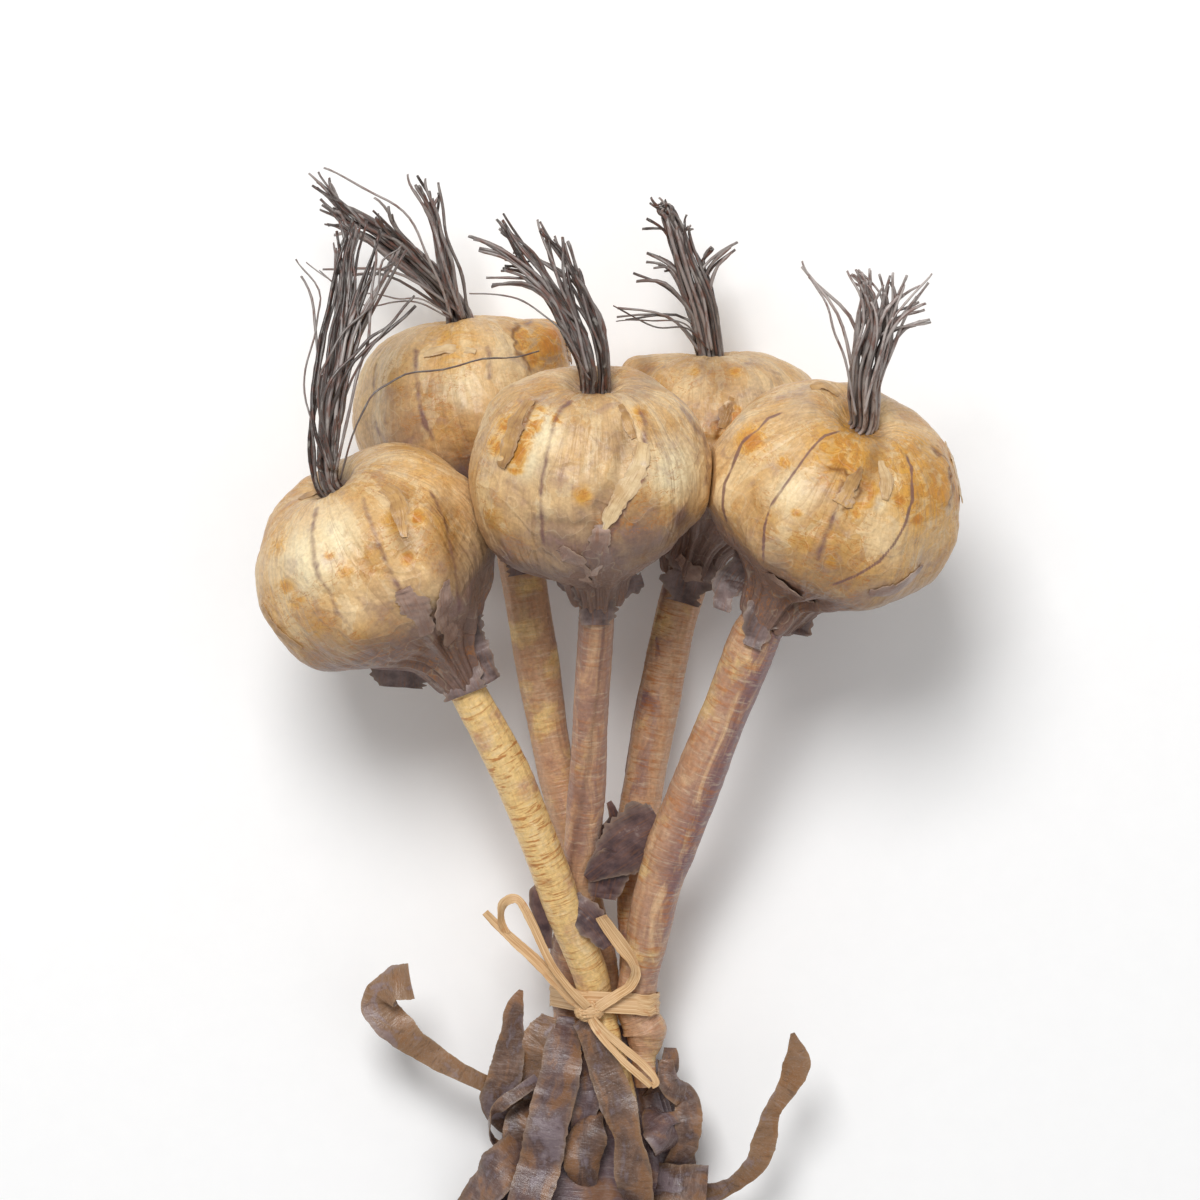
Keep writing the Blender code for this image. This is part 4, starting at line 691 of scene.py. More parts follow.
def near_spot(seen, across, below, radius):
    """How near each seen point is to a spot of the photograph, from 1 in its middle down to 0."""
    return np.exp(-(np.hypot(seen[:, 0] - across, seen[:, 1] - below) / radius) ** 2)


def add_piece(name, stands_for, finish):
    """Takes the new primitive as one of the bundle's pieces, which stands for its CAD node."""
    piece = bpy.context.object
    piece.name = name
    piece.data.name = name
    piece["stands_for"] = stands_for
    piece["finish"] = finish
    return piece


def add_sheet(name, stands_for, finish, along, across):
    """A flat sheet, to be laid along a route: x runs from 0 to 1 along it, y from -1 to 1 across."""
    bpy.ops.object.select_all(action="DESELECT")
    bpy.ops.mesh.primitive_grid_add(x_subdivisions=along, y_subdivisions=across, size=2.0)
    piece = add_piece(name, stands_for, finish)
    places = read_places(piece)
    return piece, (places[:, 0] + 1.0) / 2.0, places[:, 1]


def add_ball(name, stands_for, finish, segments, rings, radius):
    bpy.ops.object.select_all(action="DESELECT")
    bpy.ops.mesh.primitive_uv_sphere_add(segments=segments, ring_count=rings, radius=radius)
    piece = add_piece(name, stands_for, finish)
    return piece, read_places(piece)


def read_places(piece):
    places = np.zeros(len(piece.data.vertices) * 3, np.float32)
    piece.data.vertices.foreach_get("co", places)
    return places.reshape(-1, 3).astype(float)


def read_normals(piece):
    normals = np.zeros(len(piece.data.vertices) * 3, np.float32)
    piece.data.vertex_normals.foreach_get("vector", normals)
    return normals.reshape(-1, 3).astype(float)


def read_mark(piece, name):
    values = np.zeros(len(piece.data.vertices), np.float32)
    piece.data.attributes[name].data.foreach_get("value", values)
    return values.astype(float)


def mould(piece, points):
    """Puts the piece's vertices at points that are in millimetres from the tie."""
    piece.data.vertices.foreach_set("co", ((points + TIE) * MM).astype(np.float32).ravel())
    piece.data.update()


def mark(piece, name, values):
    """Keeps a value, a vector or a colour for each vertex of the piece, for its material to read."""
    values = np.asarray(values, np.float32)
    kind, field = {
        1: ("FLOAT", "value"), 3: ("FLOAT_VECTOR", "vector"), 4: ("FLOAT_COLOR", "color"),
    }[1 if values.ndim == 1 else values.shape[1]]
    layer = piece.data.attributes.new(name, kind, "POINT")
    layer.data.foreach_set(field, values.ravel())


def weld(piece, close=True):
    """Merges a rolled sheet's seam, closes its ends and turns its faces outwards."""
    bpy.ops.object.select_all(action="DESELECT")
    piece.select_set(True)
    bpy.context.view_layer.objects.active = piece
    bpy.ops.object.mode_set(mode="EDIT")
    bpy.ops.mesh.select_all(action="SELECT")
    bpy.ops.mesh.remove_doubles(threshold=WELD_REACH * MM)
    if close:
        bpy.ops.mesh.select_all(action="SELECT")
        bpy.ops.mesh.fill_holes(sides=0)
    bpy.ops.mesh.select_all(action="SELECT")
    bpy.ops.mesh.normals_make_consistent(inside=False)
    bpy.ops.object.mode_set(mode="OBJECT")


def give_wall(piece, thickness):
    """Gives a sheet its thickness, with crisp edges at its rim and at its sharp folds."""
    bpy.ops.object.select_all(action="DESELECT")
    piece.select_set(True)
    bpy.context.view_layer.objects.active = piece
    wall = piece.modifiers.new("Wall", "SOLIDIFY")
    wall.thickness = thickness * MM
    wall.offset = 0.0
    bpy.ops.object.modifier_apply(modifier=wall.name)
    bpy.ops.object.shade_smooth_by_angle(angle=CRISP_ANGLE)


def head_radius(number, angle, wide):
    """The radius of a head round its axis, with its clove furrows and its uneven outline."""
    draw = random.Random(SEEDS["cloves"] + number)
    uneven = sum(depth * np.cos(lobes * angle + draw.uniform(0.0, math.tau))
                 for lobes, depth in HEAD_LOBES)
    return HEADS[number]["radius"] * wide * (1.0 + uneven * np.minimum(wide * LOBES_FULL, 1.0))


def head_points(number, angle, down):
    """Points of a head's surface, at angles round it and shares of the way down its profile."""
    head = HEADS[number]
    wide, high = on_curve(PROFILE, down).T
    wide = np.maximum(wide, 0.0)
    middle = np.array(head["middle"])
    neck = np.array(head["neck"])
    axis = unit(head["roots"])
    stem_up = unit(np.subtract(STEMS[number][0][0], STEMS[number][1][0]))
    east = np.array(Vector(axis).orthogonal().normalized())
    north = np.cross(axis, east)
    outward = east * np.cos(angle)[:, None] + north * np.sin(angle)[:, None]
    length = np.linalg.norm(neck - middle)
    share = np.clip(-high, 0.0, 1.0)[:, None]
    rest = 1.0 - share
    leave = middle - axis * length * SPINE_LEAVES
    arrive = neck + stem_up * length * SPINE_ARRIVES
    spine = (middle * rest ** 3 + leave * 3.0 * rest ** 2 * share
             + arrive * 3.0 * rest * share ** 2 + neck * share ** 3)
    course = unit((leave - middle) * rest ** 2 + (arrive - leave) * 2.0 * rest * share
                  + (neck - arrive) * share ** 2)
    hinge = np.cross(-axis, course)
    turn = np.arctan2(np.linalg.norm(hinge, axis=1), course @ -axis)[:, None]
    hinge = hinge / np.maximum(np.linalg.norm(hinge, axis=1, keepdims=True), 1e-9)
    turned = (outward * np.cos(turn) + np.cross(hinge, outward) * np.sin(turn)
              + hinge * np.sum(hinge * outward, axis=1, keepdims=True) * (1.0 - np.cos(turn)))
    radius = head_radius(number, angle, wide)
    to_neck = ramp(share[:, 0], NECK_FROM, 1.0)
    neck_radius = head["neck_radius"] * wide / PROFILE[-2][0]
    radius = radius * (1.0 - to_neck) + neck_radius * to_neck
    above = (high >= 0.0)[:, None]
    upper = middle + axis * head["half"] * high[:, None] + outward * radius[:, None]
    return np.where(above, upper, spine + turned * radius[:, None])


def press_apart(points, number):
    """Flattens a head where it leans on its neighbours and where it lies on the floor."""
    middle = np.array(HEADS[number]["middle"])
    for pair in PRESSED_PAIRS:
        if number not in pair:
            continue
        other = pair[0] if pair[1] == number else pair[1]
        towards = np.array(HEADS[other]["middle"]) - middle
        own_share = HEADS[number]["radius"] / (HEADS[number]["radius"] + HEADS[other]["radius"])
        limit = np.linalg.norm(towards) * own_share - GAP
        towards = unit(towards)
        beyond = np.maximum((points - middle) @ towards - limit, 0.0)
        points = points - towards * beyond[:, None]
    points[:, 2] = np.maximum(points[:, 2], 0.0)
    return points


def head_veins(number, points, seen, facing_up, angle, down, rough):
    """How strongly veins show on a head: in front the photograph's, and others like them behind."""
    pixels = FOCAL / (CAMERA[2] - points[:, 2])
    veins = np.zeros(len(points))
    for route, width, strength in MARKS[number]["veins"]:
        distance, along, _ = line_field(seen, route)
        near = np.clip(1.0 - distance / pixels / width + rough, 0.0, 1.0)
        veins = np.maximum(veins, near * strength * fade_ends(along, VEIN_ENDS) * facing_up)
    draw = random.Random(SEEDS["back_veins"] + number)
    from_middle = np.linalg.norm(points - np.array(HEADS[number]["middle"]), axis=1)
    for step in range(BACK_VEINS):
        at = math.tau * (step + draw.uniform(-0.3, 0.3)) / BACK_VEINS
        wander = BACK_VEIN_WANDER * np.sin(down * BACK_VEINS + step)
        off = np.abs((angle - at + wander + math.pi) % math.tau - math.pi)
        width = draw.uniform(*BACK_VEIN_WIDTHS)
        strength = draw.uniform(*BACK_VEIN_STRENGTHS)
        near = np.clip(1.0 - off * from_middle / width + rough, 0.0, 1.0)
        veins = np.maximum(veins, near * strength * (1.0 - facing_up))
    return veins


def head_marks(number, points, normals, rough):
    """The creases, swells, torn edges and stains of a head, as a relief and as shares of colour; the
    creases also carry their painted shade.
    """
    marks = MARKS[number]
    facing_up = ramp(normals[:, 2], *FACING_UP)
    in_view = ramp(normals[:, 2], *IN_VIEW)
    seen = seen_at(points)
    pixels = FOCAL / (CAMERA[2] - points[:, 2])
    relief = np.zeros(len(points))
    shade = np.zeros(len(points))
    for route, width, depth in marks["creases"]:
        distance, along, _ = line_field(seen, route)
        near = np.exp(-(distance / pixels / width) ** 2) * fade_ends(along, CREASE_ENDS) * facing_up
        relief -= near * depth
        shade = np.maximum(shade, near * min(depth, 1.0) * CREASE_SHADE)
    for *spot, height in marks["swells"]:
        relief += near_spot(seen, *spot) * height * in_view
    edges = np.zeros(len(points))
    gilded = np.zeros(len(points))
    for route, depth in marks["torn"]:
        distance, along, side = line_field(seen, route)
        off = distance / pixels * side + rough * TORN_RAGGED
        ends = fade_ends(along, TORN_ENDS) * facing_up
        within = np.exp(-(distance / pixels / TORN_REACH) ** 2) * ends
        relief += np.where(off > 0.0, depth, 0.0) * within
        gilding = np.exp(-((off + GILDED_FROM_EDGE) / GILDED_WIDTH) ** 2) * GILDED_SHARE
        gilded = np.maximum(gilded, gilding * ends)
        edges = np.maximum(edges, np.exp(-(off / TORN_EDGE_WIDTH) ** 2) * ends)
    tones = np.zeros((len(points), 4))
    for across, below, radius, *shares in marks["stains"]:
        near = near_spot(seen, across, below, radius) * facing_up
        for index, share in enumerate(shares):
            tones[:, index] = np.maximum(tones[:, index], near * share)
    tones[:, ORANGE] = np.maximum(tones[:, ORANGE], gilded)
    tones[:, SHADE] = shade
    return relief, edges, tones


def skin_relief(number, points, wrap, down):
    """The uneven surface of the skin: pleats at both ends, lumps, wrinkles, creases and folds."""
    gather = ramp(down, *PLEATED_NECK) + ramp(down, *PLEATED_CROWN) * CROWN_PLEATS
    pleats = ripples(wrap, PLEAT_PITCH, SEEDS["pleats"] + number)
    relief = pleats * PLEAT_HEIGHT * (PLEATS_ALL_OVER + gather)
    for name, (pitch, height) in SKIN_BUMPS.items():
        relief += ripples(points, pitch, SEEDS[name] + number) * height
    for name, (pitch, widest, height, sink) in SKIN_CREASES.items():
        relief += pinched(points, pitch, widest, SEEDS[name] + number) * height - sink
    folds = ripples(wrap * FOLD_STRETCH, FOLD_PITCH, SEEDS["folds"] + number)
    relief += folds * NECK_FOLDS * ramp(down, *FOLDED_NECK)
    relief += folds * CROWN_FOLDS * ramp(down, *FOLDED_CROWN)
    return relief


def make_head(number):
    """A head with its clove furrows, wrinkles, creases and torn layers of skin."""
    piece, down, turn = add_sheet(f"garlic_head_{number}", f"bulb_{number}", "garlic_skin",
                                  HEAD_DOWN, HEAD_AROUND)
    mould(piece, head_points(number, turn * math.pi, down))
    mark(piece, "down", down)
    mark(piece, "turn", turn)
    weld(piece)
    down = read_mark(piece, "down")
    angle = read_mark(piece, "turn") * math.pi
    points = head_points(number, angle, down)
    normals = read_normals(piece)
    wrap = around(angle, SKIN_ROUND, down * SKIN_DOWN)
    rough = ripples(points, RAGGED_PITCH, number)
    relief, edges, tones = head_marks(number, points, normals, rough)
    relief += skin_relief(number, points, wrap, down)
    body = np.clip(np.sin(down * math.pi) * BODY_FULL, 0.0, 1.0)
    mould(piece, press_apart(points + normals * (relief * body)[:, None], number))
    # The mauve towards the neck is partly painted shade.
    tones[:, MAUVE_AND_SHADE] = np.maximum(tones[:, MAUVE_AND_SHADE], ramp(down, *DUSKY_NECK) * NECK_DUSK)
    tones[:, MAUVE_AND_SHADE] = np.maximum(tones[:, MAUVE_AND_SHADE], ramp(down, *DUSKY_CROWN) * CROWN_DUSK)
    veins = head_veins(number, points, seen_at(points), ramp(normals[:, 2], *FACING_UP), angle, down,
                       rough * VEIN_RAGGED)
    mark(piece, "fibres", wrap)
    mark(piece, "veins", veins)
    mark(piece, "edges", edges)
    mark(piece, "tones", tones)
    piece.data.shade_smooth()
    return piece


def on_head(head, pixels, lift):
    """A route that lies on the front of a head, from where the frame shows it, and its facing."""
    points = read_places(head) / MM - TIE
    normals = read_normals(head)
    front = normals[:, 2] > FRONT_FROM
    points = points[front]
    normals = normals[front]
    seen = seen_at(points)
    nearest = [int(np.argmin(np.hypot(*(seen - pixel).T))) for pixel in np.array(pixels, float)]
    return points[nearest] + normals[nearest] * lift, unit(normals[nearest].mean(axis=0))


def lay_along(route, shares, facing):
    """Points on a route, with the ways sideways and up off the sheet that lies along it."""
    middle = on_curve(route, shares)
    ahead = unit(on_curve(route, np.minimum(shares + ROUTE_STEP, 1.0))
                 - on_curve(route, np.maximum(shares - ROUTE_STEP, 0.0)))
    side = unit(np.cross(ahead, unit(facing)))
    return middle, side, np.cross(side, ahead)


def route_length(route):
    return float(np.sum(np.linalg.norm(np.diff(np.asarray(route, float), axis=0), axis=1)))


def strip(name, stands_for, finish, route, widths, facing, seed, thickness, crinkle, ragged,
          along, across, roll=0.0, fine=0.05, twist=0.0, swell=1.0, tint=None):
    """A thin strip of dry leaf, skin or raffia along a route: creased, rolled, torn at its edges.

    crinkle and fine are heights in millimetres, ragged and swell are shares of the width, roll is
    how far the strip curls across, in degrees, and twist how far it turns about its route.
    """
    piece, share, sideways = add_sheet(name, stands_for, finish, along, across)
    middle, side, up = lay_along(route, share, facing)
    width = on_curve(np.array(widths, float)[:, None], share)[:, 0] * swell
    distance = share * route_length(route)
    edge_at = np.stack((distance, np.sign(sideways) * EDGES_APART), axis=1)
    uneven = ripples(edge_at, EDGE_PITCH, seed) + 0.5 * ripples(edge_at, FRAY_PITCH, seed + 3)
    width = np.maximum(width * (1.0 + uneven * ragged), NARROWEST)
    sheet_at = np.stack((distance, sideways * width * CRINKLE_STRETCH), axis=1)
    lean = ripples(distance[:, None], TWIST_PITCH, seed + 4) * twist
    side, up = (side * np.cos(lean)[:, None] + up * np.sin(lean)[:, None],
                up * np.cos(lean)[:, None] - side * np.sin(lean)[:, None])
    shift = ripples(sheet_at, CRINKLE_DRIFT_PITCH, seed + 1) * CRINKLE_DRIFT
    rise = crinkle * np.sin(math.pi * distance / CRINKLE_PITCH + shift)
    rise += fine * ripples(sheet_at, FINE_PITCH, seed + 2)
    rise += pinched(sheet_at, FACET_PITCH, FACET_WIDEST, seed + 5) * crinkle * FACET_SHARE
    if roll > 0.0:
        half = math.radians(roll) / 2.0
        bow = width / 2.0 / half
        out = bow * np.sin(half * sideways)
        rise = rise + bow * (np.cos(half * sideways) - 1.0)
    else:
        out = width / 2.0 * sideways
    points = middle + side * out[:, None] + up * rise[:, None]
    points[:, 2] = np.maximum(points[:, 2], STRIP_OFF_FLOOR)
    mould(piece, points)
    own_place = np.full(len(share), seed * STRIPS_APART)
    mark(piece, "fibres", np.stack((distance, sideways * width / 2.0, own_place), axis=1))
    mark(piece, "rim", np.abs(sideways) ** RIM_SHARPNESS)
    mark(piece, "tint", np.full(len(share), (seed * TINT_STEP) % 1.0 if tint is None else tint))
    give_wall(piece, thickness)
    return piece


def make_stem(number):
    """A stem wrapped in its outer leaf, with lengthwise ribs and crosswise wrinkles."""
    route = [place for place, _ in STEMS[number]]
    radii = [[radius] for _, radius in STEMS[number]]
    piece, share, turn = add_sheet(f"garlic_stem_{number}", f"stem_{number}", "stem",
                                   STEM_ALONG, STEM_AROUND)
    middle, side, up = lay_along(route, share, UP)
    angle = turn * math.pi
    radius = on_curve(radii, share)[:, 0]
    distance = share * route_length(route)
    ring = np.stack((np.cos(angle), np.sin(angle)), axis=1)
    bark = np.concatenate((distance[:, None], ring * radius[:, None]), axis=1)
    lap = (angle / math.tau + LAP_START * number + distance / LAP_TURN) % 1.0
    for name, (stretch, pitch, height) in STEM_BUMPS.items():
        radius = radius + ripples(bark * stretch, pitch, SEEDS[name] + number) * height
    radius = radius + WRAP_STEP * (lap - 0.5)
    mould(piece, middle + (side * ring[:, :1] + up * ring[:, 1:]) * radius[:, None])
    mark(piece, "fibres", bark)
    mark(piece, "lap", np.exp(-np.minimum(lap, 1.0 - lap) * LAP_LINE))
    weld(piece)
    piece.data.shade_smooth()
    return piece


def strand_route(number, bundle, leaves_at, end, spread, draw):
    """The route of one root: up its bundle from the root plate, and then out to its end."""
    head = HEADS[number]
    axis = unit(head["roots"])
    plate = np.array(head["middle"]) + axis * head["half"] * PROFILE[0][1]
    line = [(plate, TUFT_RADIUS), (plate + axis * TUFT_RADIUS, TUFT_RADIUS)]
    line += [(np.array(place), radius) for place, radius in TUFT_BUNDLES[number][bundle]]
    places = [place for place, _ in line]
    radii = [[radius] for _, radius in line]
    stray = np.array([draw.uniform(-1, 1), draw.uniform(-1, 1), draw.uniform(-0.7, 0.7)])
    tip = np.array(end) + stray * spread * FAN_SPREAD
    towards = unit(tip - places[-1])
    middle, side, up = lay_along(places, np.linspace(0.0, leaves_at, HELD_STATIONS), UP)
    options = []
    for _ in range(3):
        turn = draw.uniform(0.0, math.tau)
        out = math.sqrt(draw.uniform(0.02, 1.0)) * BUNDLE_FILL
        lies = side * math.cos(turn) * out + up * math.sin(turn) * out
        options.append((float(lies[-1] @ towards), turn, out))
    _, turn, out = max(options)
    lies = side * math.cos(turn) * out + up * math.sin(turn) * out
    held = middle + lies * on_curve(radii, np.linspace(0.0, leaves_at, HELD_STATIONS))
    onward = unit(held[-1] - held[-2])
    reach = tip - held[-1]
    halfway = held[-1] + onward * np.linalg.norm(reach) * ROOT_ONWARD + reach * ROOT_TURNS
    return np.vstack((held, halfway, held[-1] + reach * draw.uniform(*ROOT_REACH)))


def make_tuft(number):
    """The roots of one head, each a thin wiry strand."""
    draw = random.Random(SEEDS["roots"] + number)
    strands = []
    for bundle, leaves_at, end, spread, count in FANS[number]:
        for _ in range(count):
            route = strand_route(number, bundle, leaves_at, end, spread, draw)
            strands.append((route, draw.uniform(*ROOT_RADIUS)))
    for route, radius in LONE_ROOTS[number]:
        strands.append((placed(route), radius))
    shares = np.linspace(0.0, 1.0, ROOT_STATIONS)
    turns = np.linspace(0.0, math.tau, ROOT_SIDES, endpoint=False)
    vertices, faces, lies, tones = [], [], [], []
    for index, (route, thick) in enumerate(strands):
        middle, side, up = lay_along(route, shares, ROOT_FACING)
        distance = shares * route_length(route)
        own_line = np.stack((distance, np.full(ROOT_STATIONS, index * ROOTS_APART)), axis=1)
        loose = ramp(shares, 0.0, ROOT_LOOSE)[:, None] * ROOT_BEND
        middle = middle + side * ripples(own_line, ROOT_BEND_PITCH, index)[:, None] * loose
        middle = middle + up * ripples(own_line, ROOT_BEND_PITCH, index + 50)[:, None] * loose
        uneven = ripples(own_line, ROOT_UNEVEN_PITCH, index + 90) * ROOT_UNEVEN
        wide = thick * (1.0 - ROOT_TAPER * shares ** 3 + uneven)
        start = len(vertices) * ROOT_STATIONS * ROOT_SIDES
        ring = (middle[:, None, :] + (side[:, None, :] * np.cos(turns)[None, :, None]
                + up[:, None, :] * np.sin(turns)[None, :, None]) * wide[:, None, None])
        vertices.append(ring.reshape(-1, 3))
        for station in range(ROOT_STATIONS - 1):
            for turn in range(ROOT_SIDES):
                here = start + station * ROOT_SIDES + turn
                beside = start + station * ROOT_SIDES + (turn + 1) % ROOT_SIDES
                faces.append((here, beside, beside + ROOT_SIDES, here + ROOT_SIDES))
        faces.append([start + turn for turn in range(ROOT_SIDES)][::-1])
        last = start + (ROOT_STATIONS - 1) * ROOT_SIDES
        faces.append([last + turn for turn in range(ROOT_SIDES)])
        along = np.repeat(distance, ROOT_SIDES)
        angle = np.tile(turns, ROOT_STATIONS)
        lies.append(np.stack((along, np.cos(angle) + index * GRAINS_APART, np.sin(angle)), axis=1))
        tones.append(np.full(len(along), draw.uniform(*ROOT_TONES[number])))
    mesh = bpy.data.meshes.new(f"root_tuft_{number}_wires")
    mesh.from_pydata(((np.vstack(vertices) + TIE) * MM).tolist(), [], faces)
    piece = bpy.data.objects.new(f"garlic_roots_{number}", mesh)
    bpy.context.scene.collection.objects.link(piece)
    piece["stands_for"] = f"root_tuft_{number}"
    piece["finish"] = "roots"
    mark(piece, "fibres", np.vstack(lies))
    mark(piece, "strand", np.concatenate(tones))
    weld(piece, close=False)
    piece.data.shade_smooth()
    return piece


def make_leaf_core():
    """The pressed mass of leaves that lies under the ribbons."""
    piece, ball = add_ball("leaf_mass", "dried_leaves", "dry_leaf", *CORE_FACES, 1.0)
    down = np.arccos(np.clip(ball[:, 2], -1.0, 1.0)) / math.pi
    angle = np.arctan2(ball[:, 1], ball[:, 0])
    shares = down * (1.0 + 2.0 * CORE_OVERRUN) - CORE_OVERRUN
    away, middle, wide, high = on_curve(LEAF_CORE, shares).T
    closing = np.sqrt(np.clip(np.sin(down * math.pi) * CORE_ENDS, 0.0, 1.0))
    lift = LEAF_CORE_REACH + LEAF_CORE_RISE * ramp(down, *LEAF_CORE_RISES)
    flat = np.stack((middle + wide * closing * np.cos(angle), away,
                     lift + high * closing * np.sin(angle)), axis=1)
    wrap = around(angle, CORE_ROUND, down * CORE_ALONG)
    folds = ripples(wrap, CORE_FOLD_PITCH, SEEDS["core_folds"])
    out = np.stack((np.cos(angle), np.zeros(len(angle)), np.sin(angle)), axis=1)
    points = flat + out * (folds * CORE_FOLDS * closing)[:, None]
    points[:, 2] = np.maximum(points[:, 2], 0.0)
    mould(piece, points)
    mark(piece, "fibres", np.stack((away, angle * CORE_HALF_WIDTH, np.zeros(len(angle))), axis=1))
    mark(piece, "rim", np.zeros(len(angle)))
    mark(piece, "tint", np.zeros(len(angle)))
    weld(piece, close=False)
    piece.data.shade_smooth()
    return piece


def stem_section(number, away):
    """Where a stem passes a plane across the bundle, and its radius there."""
    for (above, wide), (below, narrow) in zip(STEMS[number], STEMS[number][1:]):
        if above[1] >= away >= below[1]:
            share = (above[1] - away) / (above[1] - below[1])
            place = np.array(above) + (np.array(below) - np.array(above)) * share
            return place[0], place[2], wide + (narrow - wide) * share
    raise ValueError("the stem does not reach this plane")


def make_band():
    """The raffia wound tightly round the five stems."""
    edges = (-BAND_WIDTH * BAND_REACH, 0.0, BAND_WIDTH * BAND_REACH)
    rounds = [stem_section(number, away) for number in STEMS for away in edges]
    piece, share, across = add_sheet("raffia_band", "raffia_tie", "raffia", *BAND_FACES)
    angles = share * math.tau
    points = np.zeros((len(share), 3))
    for index, (angle, side) in enumerate(zip(angles, across)):
        way = (math.cos(angle), math.sin(angle))
        x, z, radius = max(rounds, key=lambda item: item[0] * way[0] + item[1] * way[1] + item[2])
        reach = radius + BAND_CLEARANCE + BAND_THICKNESS / 2.0
        points[index] = (x + way[0] * reach, 0.0, z + way[1] * reach)
        points[index, 1] = side * BAND_WIDTH / 2.0 + BAND_SLOPE * points[index, 0]
    out = np.stack((np.cos(angles), np.zeros(len(share)), np.sin(angles)), axis=1)
    ring = around(angles, 1.0, across * BAND_RING)
    stretch, pitch, height = BAND_WRINKLES
    points += out * (ripples(ring * stretch, pitch, SEEDS["band_wrinkles"]) * height)[:, None]
    stretch, pitch, height = BAND_WANDER
    points[:, 1] += ripples(ring * stretch, pitch, SEEDS["band_wander"]) * height
    mould(piece, points)
    mark(piece, "fibres", np.stack((share * BAND_GIRTH, across * BAND_WIDTH / 2.0,
                                    np.zeros(len(share))), axis=1))
    mark(piece, "rim", np.abs(across) ** BAND_RIM_SHARPNESS)
    weld(piece, close=False)
    give_wall(piece, BAND_THICKNESS)
    return piece


def make_knot():
    """The knot: a pressed lump of raffia, ridged across."""
    knot, ball = add_ball("raffia_knot", "raffia_tie", "raffia", *KNOT_FACES, 0.5)
    points = ball * KNOT_SIZE + KNOT_MIDDLE
    stretch, pitch, height = KNOT_RIDGES
    points += unit(ball) * (ripples(ball * stretch, pitch, SEEDS["knot_ridges"]) * height)[:, None]
    mould(knot, points)
    mark(knot, "fibres", ball * KNOT_FIBRES)
    mark(knot, "rim", np.zeros(len(ball)))
    knot.data.shade_smooth()
    return knot


def make_raffia():
    """The band, the ends and loops of the bow, and the knot."""
    pieces = [make_band()]
    for index, (name, (route, widths)) in enumerate(BOW.items()):
        pieces.append(strip("raffia_" + name.replace(" ", "_"), "raffia_tie", "raffia", route, widths,
                            UP, SEEDS["bow"] + index * BOW_SEEDS, **STRIPS["raffia"]))
    return [*pieces, make_knot()]


def paint(code):
    """A colour from its sRGB hex code, as the linear values that a shader takes."""
    shares = [int(code[index:index + 2], 16) / 255.0 for index in (1, 3, 5)]
    linear = [share / 12.92 if share <= 0.04045 else ((share + 0.055) / 1.055) ** 2.4
              for share in shares]
    return (*linear, 1.0)


def node(tree, kind, inputs=(), out=0, **settings):
    """Adds a shader node with its settings and links, and gives one of its outputs.

    An input is a value or another node's output.
    """
    made = tree.nodes.new(kind)
    for name, value in settings.items():
        setattr(made, name, value)
    for socket, value in dict(inputs).items():
        if isinstance(value, bpy.types.NodeSocket):
            tree.links.new(value, made.inputs[socket])
        else:
            made.inputs[socket].default_value = value
    return made.outputs[out]


def start_material(name, *marks):
    """A new material, the place in millimetres, and the marks that it reads off its piece."""
    material = bpy.data.materials.new(name)
    material.use_nodes = True
    tree = material.node_tree
    metres = node(tree, "ShaderNodeTexCoord", out="Object")
    place = node(tree, "ShaderNodeVectorMath", {0: metres, 1: (1.0 / MM,) * 3}, operation="MULTIPLY")
    read = [node(tree, "ShaderNodeAttribute", out=kind, attribute_name=mark_name)
            for mark_name, kind in marks]
    return material, tree, place, *read


def grow_patterns(tree, patterns):
    """Cloudy patterns: what each is measured on, its sizes in millimetres, detail and swirl.

    The fibres of a stem or head run along, across and round it. On a strip the third size is how far
    strips are apart, over the steps that the pattern takes from one seed to the next.
    """
    grown = []
    for place, sizes, detail, swirl in patterns:
        steps = node(tree, "ShaderNodeVectorMath", {0: place, 1: [1.0 / size for size in sizes]},
                     operation="MULTIPLY")
        grown.append(node(tree, "ShaderNodeTexNoise", {
            "Vector": steps, "Scale": 1.0, "Detail": detail, "Roughness": PATTERN_ROUGHNESS,
            "Distortion": swirl,
        }))
    return grown


def crease_lines(tree, value):
    """How far a pattern is from its middle value, which it crosses along thin winding lines."""
    off = node(tree, "ShaderNodeMath", {0: value, 1: 0.5}, operation="SUBTRACT")
    return node(tree, "ShaderNodeMath", {0: off}, operation="ABSOLUTE")


def add_up(tree, *parts):
    """The sum of values that each have a weight."""
    total = 0.0
    for value, weight in parts:
        total = node(tree, "ShaderNodeMath", {0: value, 1: weight, 2: total}, operation="MULTIPLY_ADD")
    return total


def lay_colours(tree, colour, layers):
    """Lays colours over a first one, each from the start of a value to where it is full, by a share."""
    for value, start, full, share, code in layers:
        over = node(tree, "ShaderNodeMapRange", {0: value, 1: start, 2: full, 4: share})
        colour = node(tree, "ShaderNodeMix", {0: over, 6: colour, 7: paint(code)}, 2, data_type="RGBA")
    return colour


def add_speckle(tree, colour, speckle, darkest, lightest):
    """Darkens and lightens a colour by its finest grain."""
    shares = node(tree, "ShaderNodeMapRange",
                  {0: speckle, 1: SPECKLE_FROM, 2: SPECKLE_TO, 3: darkest, 4: lightest})
    return node(tree, "ShaderNodeMix", {0: 1.0, 6: colour, 7: shares}, 2, data_type="RGBA",
                blend_type="MULTIPLY")


def finish_material(tree, colour, relief, strength, depth, roughness, ior=1.5):
    """Gives the shader its colour, its sheen, and a fine relief whose depth is in millimetres."""
    shader = tree.nodes["Principled BSDF"]
    bump = node(tree, "ShaderNodeBump", {"Strength": strength, "Distance": depth * MM, "Height": relief})
    tree.links.new(colour, shader.inputs["Base Color"])
    tree.links.new(bump, shader.inputs["Normal"])
    shader.inputs["Roughness"].default_value = roughness
    shader.inputs["IOR"].default_value = ior


